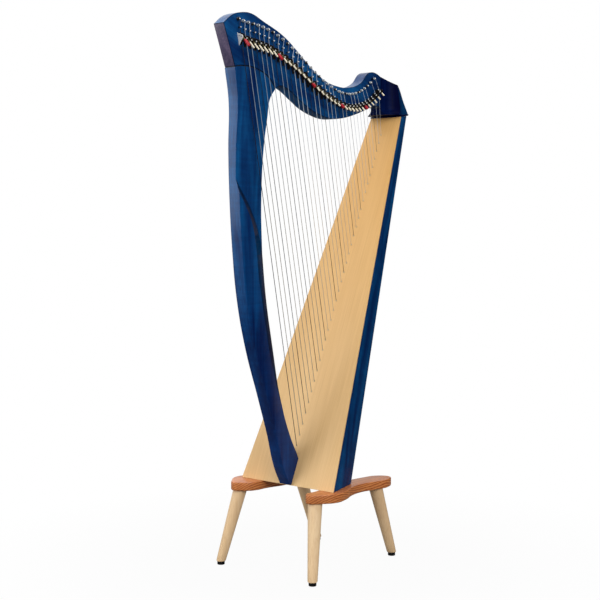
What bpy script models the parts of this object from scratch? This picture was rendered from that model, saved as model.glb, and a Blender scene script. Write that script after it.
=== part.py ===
"""Lever harp with 34 strings on a four-legged stand.

Side view of the frame: x runs from the pillar (front) to the shoulder (back), z is up,
and the strings and levers are on the -y side of the neck. The drawing's x = 0 is the
bottom front edge of the soundboard; the whole harp is then moved so that its origin is
the middle of its footprint, on the floor.
"""
import math

import bmesh
import bpy
import numpy as np
from mathutils import Matrix, Vector

# driving dimensions (m)
GAP = 0.0003                    # clearance between touching pieces
STRINGS = 34

FLOOR = -0.0060                 # height of the floor; the other heights are drawn from zero
BOX_BOTTOM = 0.2279             # the soundbox's bottom
BOX_TOP = 1.2650
BOARD_TOP_X = 0.4539            # how far back the soundboard leans at its top
BOARD_HALF_BOTTOM = 0.1671      # half widths of the soundboard
BOARD_HALF_TOP = 0.0555
BACK_X_BOTTOM = 0.1225          # back edge of the soundbox's sides at the bottom
BACK_HALF_BOTTOM = 0.1314
BACK_X_TOP = 0.5006
BOARD_THICK = 0.004
SIDE_THICK = 0.006
BACK_THICK = 0.005
BASE_THICK = 0.012
BLOCK_TALL = 0.034
RIB_THICK = 0.008
RIB_HALF = 0.011

NECK_THICK = 0.0364             # neck and pillar share one thickness
NECK_END_X = 0.4050             # where the neck meets the shoulder block
CAP_THICK = 0.0052
CAP_OVERHANG = 0.0015
CAP_BACK_X = 0.5160
TOP_RISE = 0.125                # slope of the soundbox's top, which rises a little to the back
FLARE = 0.0118                  # how fast the shoulder narrows upwards: in per 0.1 m of height
COVE_RADIUS = 0.050             # concave flare from the neck out to the soundbox

STRING_OFF_BASS = 0.0080        # string's distance from the neck's face at the bridge pin
STRING_OFF_TREBLE = 0.0060
PIN_BEYOND = 0.0025             # how far a pin sticks out past its string
STRING_R_BASS = 0.0009
STRING_R_TREBLE = 0.0004
TUNING_PIN_R = 0.0025
BRIDGE_PIN_R = 0.0015
PIVOT_BEYOND = 0.0042           # lever pivot's distance from the string, away from the neck
PIVOT_R = 0.0012
LEVER_HALF = 0.0030
LEVER_HUB_R = 0.0028
LEVER_CAM_R = 0.0036
# down the neck: string number, how far its lever's pivot is below the bridge pin, lever's length
LEVER_KEYS = ((1, 0.0230, 0.0325), (8, 0.0262, 0.0310), (15, 0.0205, 0.0275), (22, 0.0080, 0.0215),
              (29, 0.0055, 0.0180), (34, 0.0055, 0.0175))
CHEEK_THICK = 0.0017
HANDLE_REST = math.radians(-55.0)

RAIL_THICK = 0.0240
LEG_R_TOP = 0.0197
LEG_R_BOTTOM = 0.0134
FOOT_R = 0.0106
FOOT_TALL = 0.0095
# where the legs stand, and where they leave the rails: x, and how far out from the soundboard's
# bottom corner
FRONT_FOOT = (-0.0871, 0.0003)
BACK_FOOT = (0.3022, -0.0276)
FRONT_LEG_TOP = (-0.0400, -0.0301)
BACK_LEG_TOP = (0.2240, -0.0271)
BOLT_R = 0.0030
BOLT_HEAD_R = 0.0060
BOLT_HEAD_TALL = 0.0050
BOLTS = ((0.028, 0.0209), (0.090, 0.0189))      # x, and how far in from the soundbox's side

HOLLOW_SLOPE = 0.041            # how fast the hollow in the pillar's string side deepens downwards
HOLLOW_TOP = 1.352
HOLLOW_DEPTH = 0.0145

for old in list(bpy.data.objects):
    bpy.data.objects.remove(old, do_unlink=True)
scene = bpy.context.scene
harp = bpy.data.collections.new("lever_harp")
cutters = bpy.data.collections.new("cutters")
scene.collection.children.link(harp)
scene.collection.children.link(cutters)


# materials
def material(name, colour, rough, metal=0.0):
    mat = bpy.data.materials.new(name)
    mat.use_nodes = True
    shader = mat.node_tree.nodes["Principled BSDF"]
    shader.inputs["Base Color"].default_value = (*colour, 1.0)
    shader.inputs["Roughness"].default_value = rough
    shader.inputs["Metallic"].default_value = metal
    return mat


BLUE = material("blue_stained_wood", (0.010, 0.065, 0.230), 0.30)
SPRUCE = material("spruce", (0.800, 0.560, 0.300), 0.45)
MAPLE = material("pale_maple", (0.760, 0.590, 0.390), 0.45)
WALNUT = material("red_brown_wood", (0.360, 0.120, 0.045), 0.45)
CREAM = material("cream_plastic", (0.850, 0.780, 0.620), 0.35)
RED = material("red_plastic", (0.620, 0.030, 0.050), 0.35)
NYLON = material("string_nylon", (0.820, 0.840, 0.880), 0.30)
STEEL = material("zinc_steel", (0.600, 0.600, 0.620), 0.35, 1.0)
RUBBER = material("black_rubber", (0.015, 0.015, 0.016), 0.80)


# modelling helpers
def add(name, mesh, mat, where=harp):
    ob = bpy.data.objects.new(name, mesh)
    where.objects.link(ob)
    if mat is not None and not mesh.materials:
        mesh.materials.append(mat)
    if where is cutters:
        ob.hide_render = True
        ob.display_type = "WIRE"
    return ob


def mesh_from(bm, name):
    bmesh.ops.recalc_face_normals(bm, faces=bm.faces)
    mesh = bpy.data.meshes.new(name)
    bm.to_mesh(mesh)
    bm.free()
    return mesh


def boolean(ob, other, operation, self_cut=False):
    mod = ob.modifiers.new(operation.lower(), "BOOLEAN")
    mod.object = other
    mod.operation = operation
    mod.solver = "EXACT"
    mod.use_self = self_cut
    return mod


def curve_mesh(name, curve, matrix):
    """The evaluated curve as a closed mesh in world space."""
    ob = bpy.data.objects.new(name, curve)
    scene.collection.objects.link(ob)
    ob.matrix_world = matrix
    bpy.context.view_layer.update()
    graph = bpy.context.evaluated_depsgraph_get()
    mesh = bpy.data.meshes.new_from_object(ob.evaluated_get(graph))
    mesh.transform(matrix)
    bm = bmesh.new()
    bm.from_mesh(mesh)
    bmesh.ops.remove_doubles(bm, verts=bm.verts, dist=1e-6)
    bpy.data.objects.remove(ob, do_unlink=True)
    bpy.data.meshes.remove(mesh)
    return mesh_from(bm, name)


def outline_mesh(name, rings, thick, matrix, steps=4):
    """Flat outline made thick. A ring is a list of (a, b, smooth) points."""
    curve = bpy.data.curves.new(name, "CURVE")
    curve.dimensions = "2D"
    curve.fill_mode = "BOTH"
    curve.extrude = thick / 2
    curve.resolution_u = steps
    for ring in rings:
        smooth = any(p[2] for p in ring)
        spline = curve.splines.new("BEZIER" if smooth else "POLY")
        spline.use_cyclic_u = True
        if smooth:
            spline.bezier_points.add(len(ring) - 1)
            for point, (a, b, soft) in zip(spline.bezier_points, ring):
                point.co = (a, b, 0.0)
                kind = "AUTO" if soft else "VECTOR"
                point.handle_left_type = kind
                point.handle_right_type = kind
        else:
            spline.points.add(len(ring) - 1)
            for point, (a, b, _) in zip(spline.points, ring):
                point.co = (a, b, 0.0, 1.0)
    return curve_mesh(name, curve, matrix)


SIDE_VIEW = Matrix.Rotation(math.pi / 2, 4, "X")    # drawing (x, z) stood up in the xz plane


def cylinder(bm, radius, start, end, sides=8, radius_end=None):
    """A round bar from start to end, added to a bmesh."""
    start, end = Vector(start), Vector(end)
    along = end - start
    turn = along.to_track_quat("Z", "Y").to_matrix().to_4x4()
    place = Matrix.Translation((start + end) / 2) @ turn
    bmesh.ops.create_cone(bm, cap_ends=True, segments=sides, radius1=radius,
                          radius2=radius if radius_end is None else radius_end,
                          depth=along.length, matrix=place)


# soundbox
def plane(a, b, c, inside):
    """The plane through three points, its normal pointing away from inside."""
    a, b, c = Vector(a), Vector(b), Vector(c)
    normal = (b - a).cross(c - a).normalized()
    if normal.dot(Vector(inside) - a) > 0:
        normal = -normal
    return normal, normal.dot(a)


def inward(pl, distance):
    return pl[0], pl[1] - distance


def level(z):
    return Vector((0, 0, 1)), z


def corner(p, q, r):
    rows = np.array([p[0][:], q[0][:], r[0][:]])
    return Vector(np.linalg.solve(rows, np.array([p[1], q[1], r[1]])))


def slab(name, front, back, right, left, bottom, top):
    """A panel between six planes: a cube with its corners moved to where they meet."""
    bm = bmesh.new()
    made = bmesh.ops.create_cube(bm, size=1.0)
    for v in made["verts"]:
        v.co = corner(front if v.co.x < 0 else back, right if v.co.y < 0 else left,
                      bottom if v.co.z < 0 else top)
    return mesh_from(bm, name)


MIDDLE = (0.25, 0.0, 0.75)
FRONT = plane((0, -1, BOX_BOTTOM), (0, 1, BOX_BOTTOM), (BOARD_TOP_X, 0, BOX_TOP), MIDDLE)
BACK = plane((BACK_X_BOTTOM, -1, BOX_BOTTOM), (BACK_X_BOTTOM, 1, BOX_BOTTOM),
             (BACK_X_TOP, 0, BOX_TOP), MIDDLE)


def side_plane(sign):
    return plane((0, sign * BOARD_HALF_BOTTOM, BOX_BOTTOM),
                 (BOARD_TOP_X, sign * BOARD_HALF_TOP, BOX_TOP),
                 (BACK_X_BOTTOM, sign * BACK_HALF_BOTTOM, BOX_BOTTOM), MIDDLE)


RIGHT, LEFT = side_plane(-1), side_plane(1)
BOTTOM = level(BOX_BOTTOM)
TOP = plane((BOARD_TOP_X, -1, BOX_TOP), (BOARD_TOP_X, 1, BOX_TOP),
            (BOARD_TOP_X + 1, 0, BOX_TOP + TOP_RISE), MIDDLE)
behind_board = inward(FRONT, BOARD_THICK + GAP)
inner_right = inward(RIGHT, SIDE_THICK + GAP)
inner_left = inward(LEFT, SIDE_THICK + GAP)
before_back = inward(BACK, BACK_THICK + GAP)

soundboard = add("soundboard", slab("soundboard", FRONT, inward(FRONT, BOARD_THICK), RIGHT, LEFT,
                                    BOTTOM, TOP), SPRUCE)
add("soundbox_side_right", slab("side_right", behind_board, BACK, RIGHT,
                                inward(RIGHT, SIDE_THICK), BOTTOM, TOP), BLUE)
add("soundbox_side_left", slab("side_left", behind_board, BACK, inward(LEFT, SIDE_THICK), LEFT,
                               BOTTOM, TOP), BLUE)
soundbox_back = add("soundbox_back", slab("back", inward(BACK, BACK_THICK), BACK, inner_right,
                                          inner_left, BOTTOM, TOP), BLUE)
base_board = add("base_board", slab("base", behind_board, before_back, inner_right, inner_left,
                                    BOTTOM, level(BOX_BOTTOM + BASE_THICK)), MAPLE)
add("top_block", slab("block", behind_board, before_back, inner_right, inner_left,
                      level(BOX_TOP - BLOCK_TALL), TOP), MAPLE)

# four oval sound holes down the middle of the back: (height, half length, half width)
SOUND_HOLES = ((0.435, 0.062, 0.046), (0.650, 0.055, 0.037), (0.850, 0.047, 0.029),
               (1.030, 0.038, 0.021))
back_lean = math.atan2(BACK_X_TOP - BACK_X_BOTTOM, BOX_TOP - BOX_BOTTOM)
bm = bmesh.new()
for z, half_long, half_wide in SOUND_HOLES:
    x = BACK_X_BOTTOM + (z - BOX_BOTTOM) * math.tan(back_lean)
    place = (Matrix.Translation((x, 0, z)) @ Matrix.Rotation(back_lean, 4, "Y")
             @ Matrix.Rotation(math.pi / 2, 4, "Y") @ Matrix.Diagonal((half_long, half_wide, 1, 1)))
    bmesh.ops.create_cone(bm, cap_ends=True, segments=24, radius1=1, radius2=1, depth=0.03,
                          matrix=place)
boolean(soundbox_back, add("sound_hole_cutter", mesh_from(bm, "sound_holes"), None, cutters),
        "DIFFERENCE")


# string layout
BOARD_LONG = math.hypot(BOARD_TOP_X, BOX_TOP - BOX_BOTTOM)
NECK_FACE = -NECK_THICK / 2
# tuning pins along the neck: the pin's number, x and z at a few of the 34
PIN_KEYS = ((1, -0.2121, 1.4749), (6, -0.1183, 1.4640), (11, -0.0195, 1.4321),
            (16, 0.0775, 1.3773), (20, 0.1506, 1.3387), (24, 0.2177, 1.3193),
            (28, 0.2784, 1.3229), (31, 0.3200, 1.3399), (34, 0.3590, 1.3708))
PIN_X = np.polyfit([p[0] for p in PIN_KEYS], [p[1] for p in PIN_KEYS], 5)
PIN_Z = np.polyfit([p[0] for p in PIN_KEYS], [p[2] for p in PIN_KEYS], 6)


class Course:
    """Where one string runs, from its tuning pin to the rib behind the soundboard."""

    def __init__(self, k):
        along = 0.0785666 + 0.0326303 * k - 0.0000980267 * k * k
        share = along / BOARD_LONG
        self.radius = STRING_R_BASS + (STRING_R_TREBLE - STRING_R_BASS) * (k - 1) / (STRINGS - 1)
        self.hole = Vector((share * BOARD_TOP_X, 0.0, BOX_BOTTOM + share * (BOX_TOP - BOX_BOTTOM)))
        self.lean = math.radians(12.8 + 0.09 * (k - 1) + 0.0195 * max(0, k - 16) ** 2)
        self.pin = Vector((np.polyval(PIN_X, k), 0.0, np.polyval(PIN_Z, k)))
        bridge_z = self.pin.z - 0.0215 - 0.00026 * (k - 1)
        bridge_x = self.hole.x - math.tan(self.lean) * (bridge_z - self.hole.z)
        # the last two strings stand further out, where they pass the neck's thick end
        self.off = (STRING_OFF_BASS + (STRING_OFF_TREBLE - STRING_OFF_BASS) * (k - 1) / (STRINGS - 1)
                    + 0.0060 * (max(0, k - 32) / 2) ** 1.5)
        self.bridge = Vector((bridge_x, NECK_FACE - self.off, bridge_z))
        self.long = (self.bridge - self.hole).length
        self.up = Vector((-math.sin(self.lean), 0.0, math.cos(self.lean)))
        self.across = Vector((math.cos(self.lean), 0.0, math.sin(self.lean)))
        numbers, drops, lengths = zip(*LEVER_KEYS)
        drop = float(np.interp(k, numbers, drops))
        self.lever_long = float(np.interp(k, numbers, lengths))
        flat = Vector((self.bridge.x, 0.0, self.bridge.z)) - drop * self.up
        self.pivot = Vector((flat.x, self.bridge.y - PIVOT_BEYOND, flat.z))
        self.bracket_rise = min(0.0100, drop - 0.002)
        self.bracket_drop = 0.0230 if k <= 18 else 0.0130
        # the string turns round the bridge pin, which stands on the inside of the turn
        top = Vector((self.pin.x + TUNING_PIN_R - 0.0009, self.bridge.y, self.pin.z))
        self.top = top
        above = math.atan2(self.bridge.x - top.x, top.z - self.bridge.z)
        inside = 1.0 if above < self.lean else -1.0
        shift = inside * (BRIDGE_PIN_R + self.radius + GAP)
        self.bridge_pin = Vector((self.bridge.x, 0.0, self.bridge.z)) + shift * self.across


COURSES = [Course(k) for k in range(1, STRINGS + 1)]

# soundboard holes, square to the board
bm = bmesh.new()
for c in COURSES:
    cylinder(bm, 0.0022, c.hole + 0.004 * FRONT[0], c.hole - 0.010 * FRONT[0])
boolean(soundboard, add("string_hole_cutter", mesh_from(bm, "string_holes"), None, cutters),
        "DIFFERENCE")

# pillar, neck and shoulder
JOINT = ((-0.2212, 1.3525), (-0.1970, 1.3570), (-0.1300, 1.3520), (-0.0900, 1.3350),
         (-0.0620, 1.3090))


def joint(shift, backwards=False):
    """The curved joint line between pillar and neck, moved up or down by half the gap."""
    pts = [(x, z + shift, 0 < i < len(JOINT) - 1) for i, (x, z) in enumerate(JOINT)]
    return pts[::-1] if backwards else pts


NECK_OUTLINE = [(-0.2622, 1.4600, False), (-0.2303, 1.4833, True), (-0.1939, 1.4945, True),
                (-0.1576, 1.4957, True), (-0.1126, 1.4813, True), (-0.0281, 1.4503, True),
                (0.0297, 1.4153, True), (0.0892, 1.3755, True), (0.1507, 1.3460, True),
                (0.2010, 1.3365, True), (0.2454, 1.3362, True), (0.3092, 1.3549, True),
                (0.3420, 1.3850, True), (0.3620, 1.3905, True), (0.3820, 1.3890, True),
                (NECK_END_X - GAP, 1.3805, False), (NECK_END_X - GAP, 1.2890, False),
                (0.3880, 1.2940, True), (0.3620, 1.2895, True), (0.3381, 1.2811, True),
                (0.2782, 1.2610, True), (0.2137, 1.2466, True), (0.1700, 1.2438, True),
                (0.1328, 1.2488, True), (0.0723, 1.2669, True), (0.0367, 1.2855, True),
                (-0.0213, 1.3143, True), (-0.0450, 1.3175, True)]
neck = add("neck", outline_mesh("neck", [NECK_OUTLINE + joint(GAP / 2, backwards=True)],
                                NECK_THICK, SIDE_VIEW, 3), BLUE)

board_rise = Vector((BOARD_TOP_X, BOX_TOP - BOX_BOTTOM)).normalized()
foot_back = Vector((0.0, BOX_BOTTOM)) + 0.0025 * board_rise + Vector((-0.0004, 0.0))
knee_back = Vector((0.0, BOX_BOTTOM)) + 0.0790 * board_rise + Vector((-0.0004, 0.0))
PILLAR_OUTLINE = joint(-GAP / 2) + [
    (-0.0815, 1.2816, True), (-0.0907, 1.2288, True), (-0.1022, 1.1434, True),
    (-0.1060, 1.0112, True), (-0.1020, 0.8787, True), (-0.0938, 0.7477, True),
    (-0.0700, 0.6170, True), (-0.0433, 0.4728, True), (-0.0090, 0.3760, True),
    (knee_back.x, knee_back.y, False), (foot_back.x, foot_back.y, False),
    (-0.0060, 0.2310, False), (-0.0320, 0.2820, True), (-0.0610, 0.3770, True),
    (-0.0960, 0.4765, True), (-0.1475, 0.6210, True), (-0.1788, 0.7500, True),
    (-0.1953, 0.8800, True), (-0.2050, 1.0100, True), (-0.2090, 1.1400, True),
    (-0.2075, 1.2690, True)]
pillar = add("pillar", outline_mesh("pillar", [PILLAR_OUTLINE], NECK_THICK, SIDE_VIEW, 3), BLUE)

# The pillar's string side is hollowed so that the bass strings pass it freely. The hollow ends
# below at a curved ridge, to which a slanted wall climbs: height, x of the ridge, wall's slope.
RIDGE = ((0.3000, 0.0300, 0.30), (0.3500, 0.0060, 0.30), (0.4100, -0.0200, 0.30),
         (0.5100, -0.0615, 0.30), (0.6200, -0.0930, 0.30), (0.7200, -0.1140, 0.30),
         (0.8000, -0.1300, 0.30), (0.8791, -0.1398, 0.35), (0.9240, -0.1471, 0.38),
         (0.9613, -0.1602, 0.42), (0.9869, -0.1759, 0.42), (1.0135, -0.1912, 0.42),
         (1.0280, -0.2064, 0.42), (1.0588, -0.2254, 0.42), (1.1000, -0.2620, 0.42),
         (1.4000, -0.2900, 0.42))
bm = bmesh.new()
bmesh.ops.create_cube(bm, size=1.0)
upright = [e for e in bm.edges if abs(e.verts[0].co.z - e.verts[1].co.z) > 0.5]
bmesh.ops.subdivide_edges(bm, edges=upright, cuts=len(RIDGE) - 2)
for v in bm.verts:
    z, ridge, slope = RIDGE[round((v.co.z + 0.5) * (len(RIDGE) - 1))]
    deep = min(HOLLOW_SLOPE * (HOLLOW_TOP - z), HOLLOW_DEPTH) if v.co.y > 0 else -0.008
    v.co = Vector((ridge + deep / slope if v.co.x < 0 else 0.100, NECK_FACE + deep, z))
boolean(pillar, add("hollow_cutter", mesh_from(bm, "hollow"), None, cutters), "DIFFERENCE")

on_cap = inward(TOP, -CAP_THICK - 2 * GAP)


def cap_z(x):
    """Height of the shoulder's underside, which lies on the cap plate."""
    return (on_cap[1] - on_cap[0].x * x) / on_cap[0].z


SHOULDER_OUTLINE = [(NECK_END_X, 1.3805, False), (0.4250, 1.3735, True), (0.4475, 1.3605, True),
                    (0.4650, 1.3430, True), (0.4830, 1.3150, True),
                    (0.5130, cap_z(0.5130), False), (0.4500, cap_z(0.4500), False),
                    (0.4110, cap_z(0.4500), False), (NECK_END_X, 1.2890, False)]
shoulder = add("shoulder", outline_mesh("shoulder", [SHOULDER_OUTLINE], 0.14, SIDE_VIEW, 3), BLUE)


def flare(side):
    """The shoulder's side: it starts at the soundbox's side and leans inwards going up."""
    p = corner(side, on_cap, (Vector((1, 0, 0)), BOARD_TOP_X))
    q = corner(side, on_cap, (Vector((1, 0, 0)), CAP_BACK_X))
    return plane(p, q, p + Vector((0, -math.copysign(FLARE, p.y), 0.1)), (0.46, 0, 1.30))


sides = slab("sides", (Vector((1, 0, 0)), 0.39), (Vector((1, 0, 0)), 0.56), flare(RIGHT), flare(LEFT),
             level(1.25), level(1.42))
boolean(shoulder, add("side_cutter", sides, None, cutters), "INTERSECT")
bm = bmesh.new()
for sign in (-1, 1):
    y = sign * (NECK_THICK / 2 + COVE_RADIUS)
    cylinder(bm, COVE_RADIUS, (NECK_END_X, y, 1.24), (NECK_END_X, y, 1.43), 48)
boolean(shoulder, add("cove_cutter", mesh_from(bm, "coves"), None, cutters), "DIFFERENCE")

wider_right, wider_left = inward(RIGHT, -CAP_OVERHANG), inward(LEFT, -CAP_OVERHANG)
add("cap_plate", slab("cap_plate", inward(FRONT, -CAP_OVERHANG), (Vector((1, 0, 0)), CAP_BACK_X),
                      wider_right, wider_left, inward(TOP, -GAP),
                      inward(TOP, -GAP - CAP_THICK)), BLUE)

# the tuning pins run right through the neck
bm = bmesh.new()
for c in COURSES:
    cylinder(bm, TUNING_PIN_R + GAP, c.pin + Vector((0, -0.03, 0)), c.pin + Vector((0, 0.03, 0)))
boolean(neck, add("pin_hole_cutter", mesh_from(bm, "pin_holes"), None, cutters), "DIFFERENCE")

# bridge pins and lever brackets, which are fixed to the neck's string side
cheek_in = LEVER_HALF + GAP
bm = bmesh.new()
for c in COURSES:
    foot = c.bridge_pin + Vector((0, NECK_FACE + 0.003, 0))
    cylinder(bm, BRIDGE_PIN_R, foot, foot - Vector((0, 0.003 + c.off + PIN_BEYOND, 0)), 6)
    out = Vector((0, -1, 0))
    frame = Matrix((( -out.x, c.up.x, c.across.x, 0), (-out.y, c.up.y, c.across.y, 0),
                    (-out.z, c.up.z, c.across.z, 0), (0, 0, 0, 1)))
    frame.translation = c.pivot
    into_wood = c.off + PIVOT_BEYOND + 0.002
    for lo in (-cheek_in - CHEEK_THICK, cheek_in):
        # a three-cornered cheek: its long side on the neck, its blunt corner round the pivot
        made = bmesh.ops.create_cube(bm, size=1.0)
        for v in made["verts"]:
            across = lo if v.co.z < 0 else lo + CHEEK_THICK
            if v.co.y > 0:
                a, b = (into_wood, c.bracket_rise) if v.co.x > 0 else (-0.0033, 0.0028)
            else:
                a, b = (into_wood, -c.bracket_drop) if v.co.x > 0 else (-0.0033, -0.0028)
            v.co = frame @ Vector((a, b, across))
    reach = (cheek_in + CHEEK_THICK / 2) * c.across
    cylinder(bm, PIVOT_R, c.pivot - reach, c.pivot + reach, 6)
boolean(neck, add("bracket_joiner", mesh_from(bm, "brackets"), None, cutters), "UNION",
        self_cut=True)

# strings and tuning pins
bm = bmesh.new()
rib = slab("rib", behind_board, inward(FRONT, BOARD_THICK + GAP + RIB_THICK),
           (Vector((0, 1, 0)), -RIB_HALF), (Vector((0, 1, 0)), RIB_HALF),
           level(0.300), level(BOX_TOP - BLOCK_TALL - 0.002))
string_set = add("string_set", rib, NYLON)
for c in COURSES:
    cylinder(bm, TUNING_PIN_R, c.pin + Vector((0, NECK_FACE - c.off - PIN_BEYOND, 0)),
             c.pin + Vector((0, -NECK_FACE + 0.020, 0)), 6)
pins = add("tuning_pins", mesh_from(bm, "tuning_pins"), None, cutters)
bm = bmesh.new()
for c in COURSES:
    wire = bpy.data.curves.new("wire", "CURVE")
    wire.dimensions = "3D"
    wire.bevel_depth = c.radius
    wire.bevel_resolution = 1
    wire.use_fill_caps = True
    spline = wire.splines.new("POLY")
    spline.points.add(3)
    inside = c.hole - 0.010 * FRONT[0]          # square through the board and into the rib
    for point, co in zip(spline.points, (c.top, c.bridge, c.hole, inside)):
        point.co = (*co, 1.0)
    mesh = curve_mesh("wire", wire, Matrix.Identity(4))
    bm.from_mesh(mesh)
    bpy.data.meshes.remove(mesh)
strings = add("strings", mesh_from(bm, "strings"), None, cutters)
boolean(strings, pins, "UNION", self_cut=True)
boolean(string_set, strings, "UNION", self_cut=True)


# sharping levers
def lever_mesh(long):
    """Cam, hub and handle as one flat outline round the pivot, handle down at rest."""
    ring = []
    for i in range(10):
        turn = HANDLE_REST + math.radians(48 + i * (360 - 96) / 9)
        away = (turn - math.radians(90) + math.pi) % (2 * math.pi) - math.pi
        r = LEVER_HUB_R + (LEVER_CAM_R - LEVER_HUB_R) * math.exp(-(away / math.radians(35)) ** 2)
        ring.append((r * math.cos(turn), r * math.sin(turn), False))
    for along, aside in ((long - 0.002, -0.0026), (long, -0.0015), (long, 0.0015),
                         (long - 0.002, 0.0026)):
        ring.append((along * math.cos(HANDLE_REST) - aside * math.sin(HANDLE_REST),
                     along * math.sin(HANDLE_REST) + aside * math.cos(HANDLE_REST), False))
    bore = [((PIVOT_R + GAP) * math.cos(i * math.pi / 4), (PIVOT_R + GAP) * math.sin(i * math.pi / 4),
             False) for i in range(8)]
    return outline_mesh("lever", [ring, bore], 2 * LEVER_HALF, Matrix.Identity(4))


for k, c in enumerate(COURSES, 1):
    ob = add(f"lever_{k:02d}", lever_mesh(c.lever_long), RED if k % 7 == 1 else CREAM)
    out = Vector((0, -1, 0))
    axis = out.cross(c.up)
    ob.matrix_world = Matrix(((out.x, c.up.x, axis.x, c.pivot.x), (out.y, c.up.y, axis.y, c.pivot.y),
                              (out.z, c.up.z, axis.z, c.pivot.z), (0, 0, 0, 1)))

# stand
# x, and how far out from the soundboard's bottom corner
RAIL_OUTER = ((-0.0700, -0.0301), (-0.0480, -0.0051), (-0.0060, 0.0190), (0.0400, 0.0130),
              (0.0980, -0.0090), (0.1500, -0.0150), (0.1980, -0.0050), (0.2500, -0.0010),
              (0.2830, -0.0221), (0.2710, -0.0541), (0.2100, -0.0721))
RAIL_INNER = {"right": ((0.1400, -0.0751), (0.0600, -0.0611), (-0.0150, -0.0500), (-0.0580, -0.0470)),
              "left": ((0.1500, -0.0880), (0.0800, -0.0930), (0.0250, -0.0820), (-0.0400, -0.0730),
                       (-0.0600, -0.0500))}
rail_top = BOX_BOTTOM - GAP
rail_bottom = rail_top - RAIL_THICK


def bolt_place(place, sign):
    """A bolt's x and y: it goes up just inside the soundbox's side."""
    x, inside = place
    share = x / BACK_X_BOTTOM
    half = BOARD_HALF_BOTTOM + (BACK_HALF_BOTTOM - BOARD_HALF_BOTTOM) * share
    return x, sign * (half - inside)


for side, sign in (("right", -1), ("left", 1)):
    def beside(place):
        """A point of the stand on this side, from its x and how far out it lies."""
        return place[0], sign * (BOARD_HALF_BOTTOM + place[1])

    ring = [(*beside(p), True) for p in RAIL_OUTER + RAIL_INNER[side]]
    lift = Matrix.Translation((0, 0, (rail_top + rail_bottom) / 2))
    rail = add(f"stand_rail_{side}", outline_mesh("rail", [ring], RAIL_THICK, lift, 4), WALNUT)
    bm = bmesh.new()
    for x, y in (bolt_place(b, sign) for b in BOLTS):
        cylinder(bm, BOLT_R + GAP, (x, y, rail_bottom - 0.01), (x, y, rail_top + 0.01), 12)
        cylinder(bm, BOLT_HEAD_R + GAP, (x, y, rail_bottom - 0.01),
                 (x, y, rail_bottom + BOLT_HEAD_TALL + GAP), 12)
    boolean(rail, add(f"bolt_hole_cutter_{side}", mesh_from(bm, "bolt_holes"), None, cutters),
            "DIFFERENCE", self_cut=True)
    for place, (tx, ty), (fx, fy) in (("front", beside(FRONT_LEG_TOP), beside(FRONT_FOOT)),
                                      ("back", beside(BACK_LEG_TOP), beside(BACK_FOOT))):
        # a turned, tapered leg, leaned over by shearing so that both ends stay level
        low, high = FLOOR + FOOT_TALL + GAP, rail_bottom - GAP
        lean_x = (tx - fx) / (high - low)
        lean_y = (ty - fy) / (high - low)
        bm = bmesh.new()
        cylinder(bm, LEG_R_BOTTOM, (0, 0, low), (0, 0, high), 20, LEG_R_TOP)
        for v in bm.verts:
            v.co.x += fx + lean_x * (v.co.z - low)
            v.co.y += fy + lean_y * (v.co.z - low)
        add(f"leg_{place}_{side}", mesh_from(bm, "leg"), MAPLE)
        bm = bmesh.new()
        cylinder(bm, FOOT_R, (fx, fy, FLOOR), (fx, fy, FLOOR + FOOT_TALL), 16)
        add(f"rubber_foot_{place}_{side}", mesh_from(bm, "rubber_foot"), RUBBER)
    for n, (x, y) in enumerate((bolt_place(b, sign) for b in BOLTS), 1):
        bm = bmesh.new()
        top = BOX_BOTTOM + BASE_THICK - 0.003
        cylinder(bm, BOLT_R, (x, y, rail_bottom + 0.002), (x, y, top), 10)
        bolt = add(f"stand_bolt_{side}_{n}", mesh_from(bm, "bolt"), STEEL)
        bm = bmesh.new()
        cylinder(bm, BOLT_HEAD_R, (x, y, rail_bottom + GAP), (x, y, rail_bottom + BOLT_HEAD_TALL), 6)
        boolean(bolt, add(f"bolt_head_{side}_{n}", mesh_from(bm, "bolt_head"), None, cutters),
                "UNION")
bm = bmesh.new()
for sign in (-1, 1):
    for x, y in (bolt_place(b, sign) for b in BOLTS):
        cylinder(bm, BOLT_R + GAP, (x, y, BOX_BOTTOM - 0.01), (x, y, BOX_BOTTOM + BASE_THICK - 0.002), 12)
boolean(base_board, add("base_hole_cutter", mesh_from(bm, "base_holes"), None, cutters),
        "DIFFERENCE")

# origin
origin = bpy.data.objects.new("harp_origin", None)
harp.objects.link(origin)
for ob in list(harp.objects) + list(cutters.objects):
    if ob is not origin:
        ob.parent = origin
origin.location = (-(CAP_BACK_X - 0.2622) / 2, 0.0, -FLOOR)
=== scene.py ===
# %% [markdown]
# # A lever harp on a four-legged stand
# This notebook dresses a harp frame that was drawn in CAD. The frame fixes every size and every
# joint. Here we add what a drawing leaves out: rounded edges, grain in the wood, single strings
# with their windings, pins, and lever brackets with their pivots.

# %% Load the frame
import math

import bmesh
import bpy
import numpy as np
from mathutils import Matrix, Vector


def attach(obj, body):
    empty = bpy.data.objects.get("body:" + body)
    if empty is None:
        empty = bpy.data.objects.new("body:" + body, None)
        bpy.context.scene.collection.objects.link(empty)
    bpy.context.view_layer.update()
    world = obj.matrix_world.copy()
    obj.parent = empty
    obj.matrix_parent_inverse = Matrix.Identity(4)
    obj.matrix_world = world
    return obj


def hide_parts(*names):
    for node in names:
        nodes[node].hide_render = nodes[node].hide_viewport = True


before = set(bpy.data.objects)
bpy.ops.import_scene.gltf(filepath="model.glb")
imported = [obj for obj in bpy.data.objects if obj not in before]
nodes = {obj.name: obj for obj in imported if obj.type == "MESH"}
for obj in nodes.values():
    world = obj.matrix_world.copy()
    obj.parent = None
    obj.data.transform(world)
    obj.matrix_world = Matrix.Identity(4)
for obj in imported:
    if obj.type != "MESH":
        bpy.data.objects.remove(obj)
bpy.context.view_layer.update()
scene = bpy.context.scene

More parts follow.
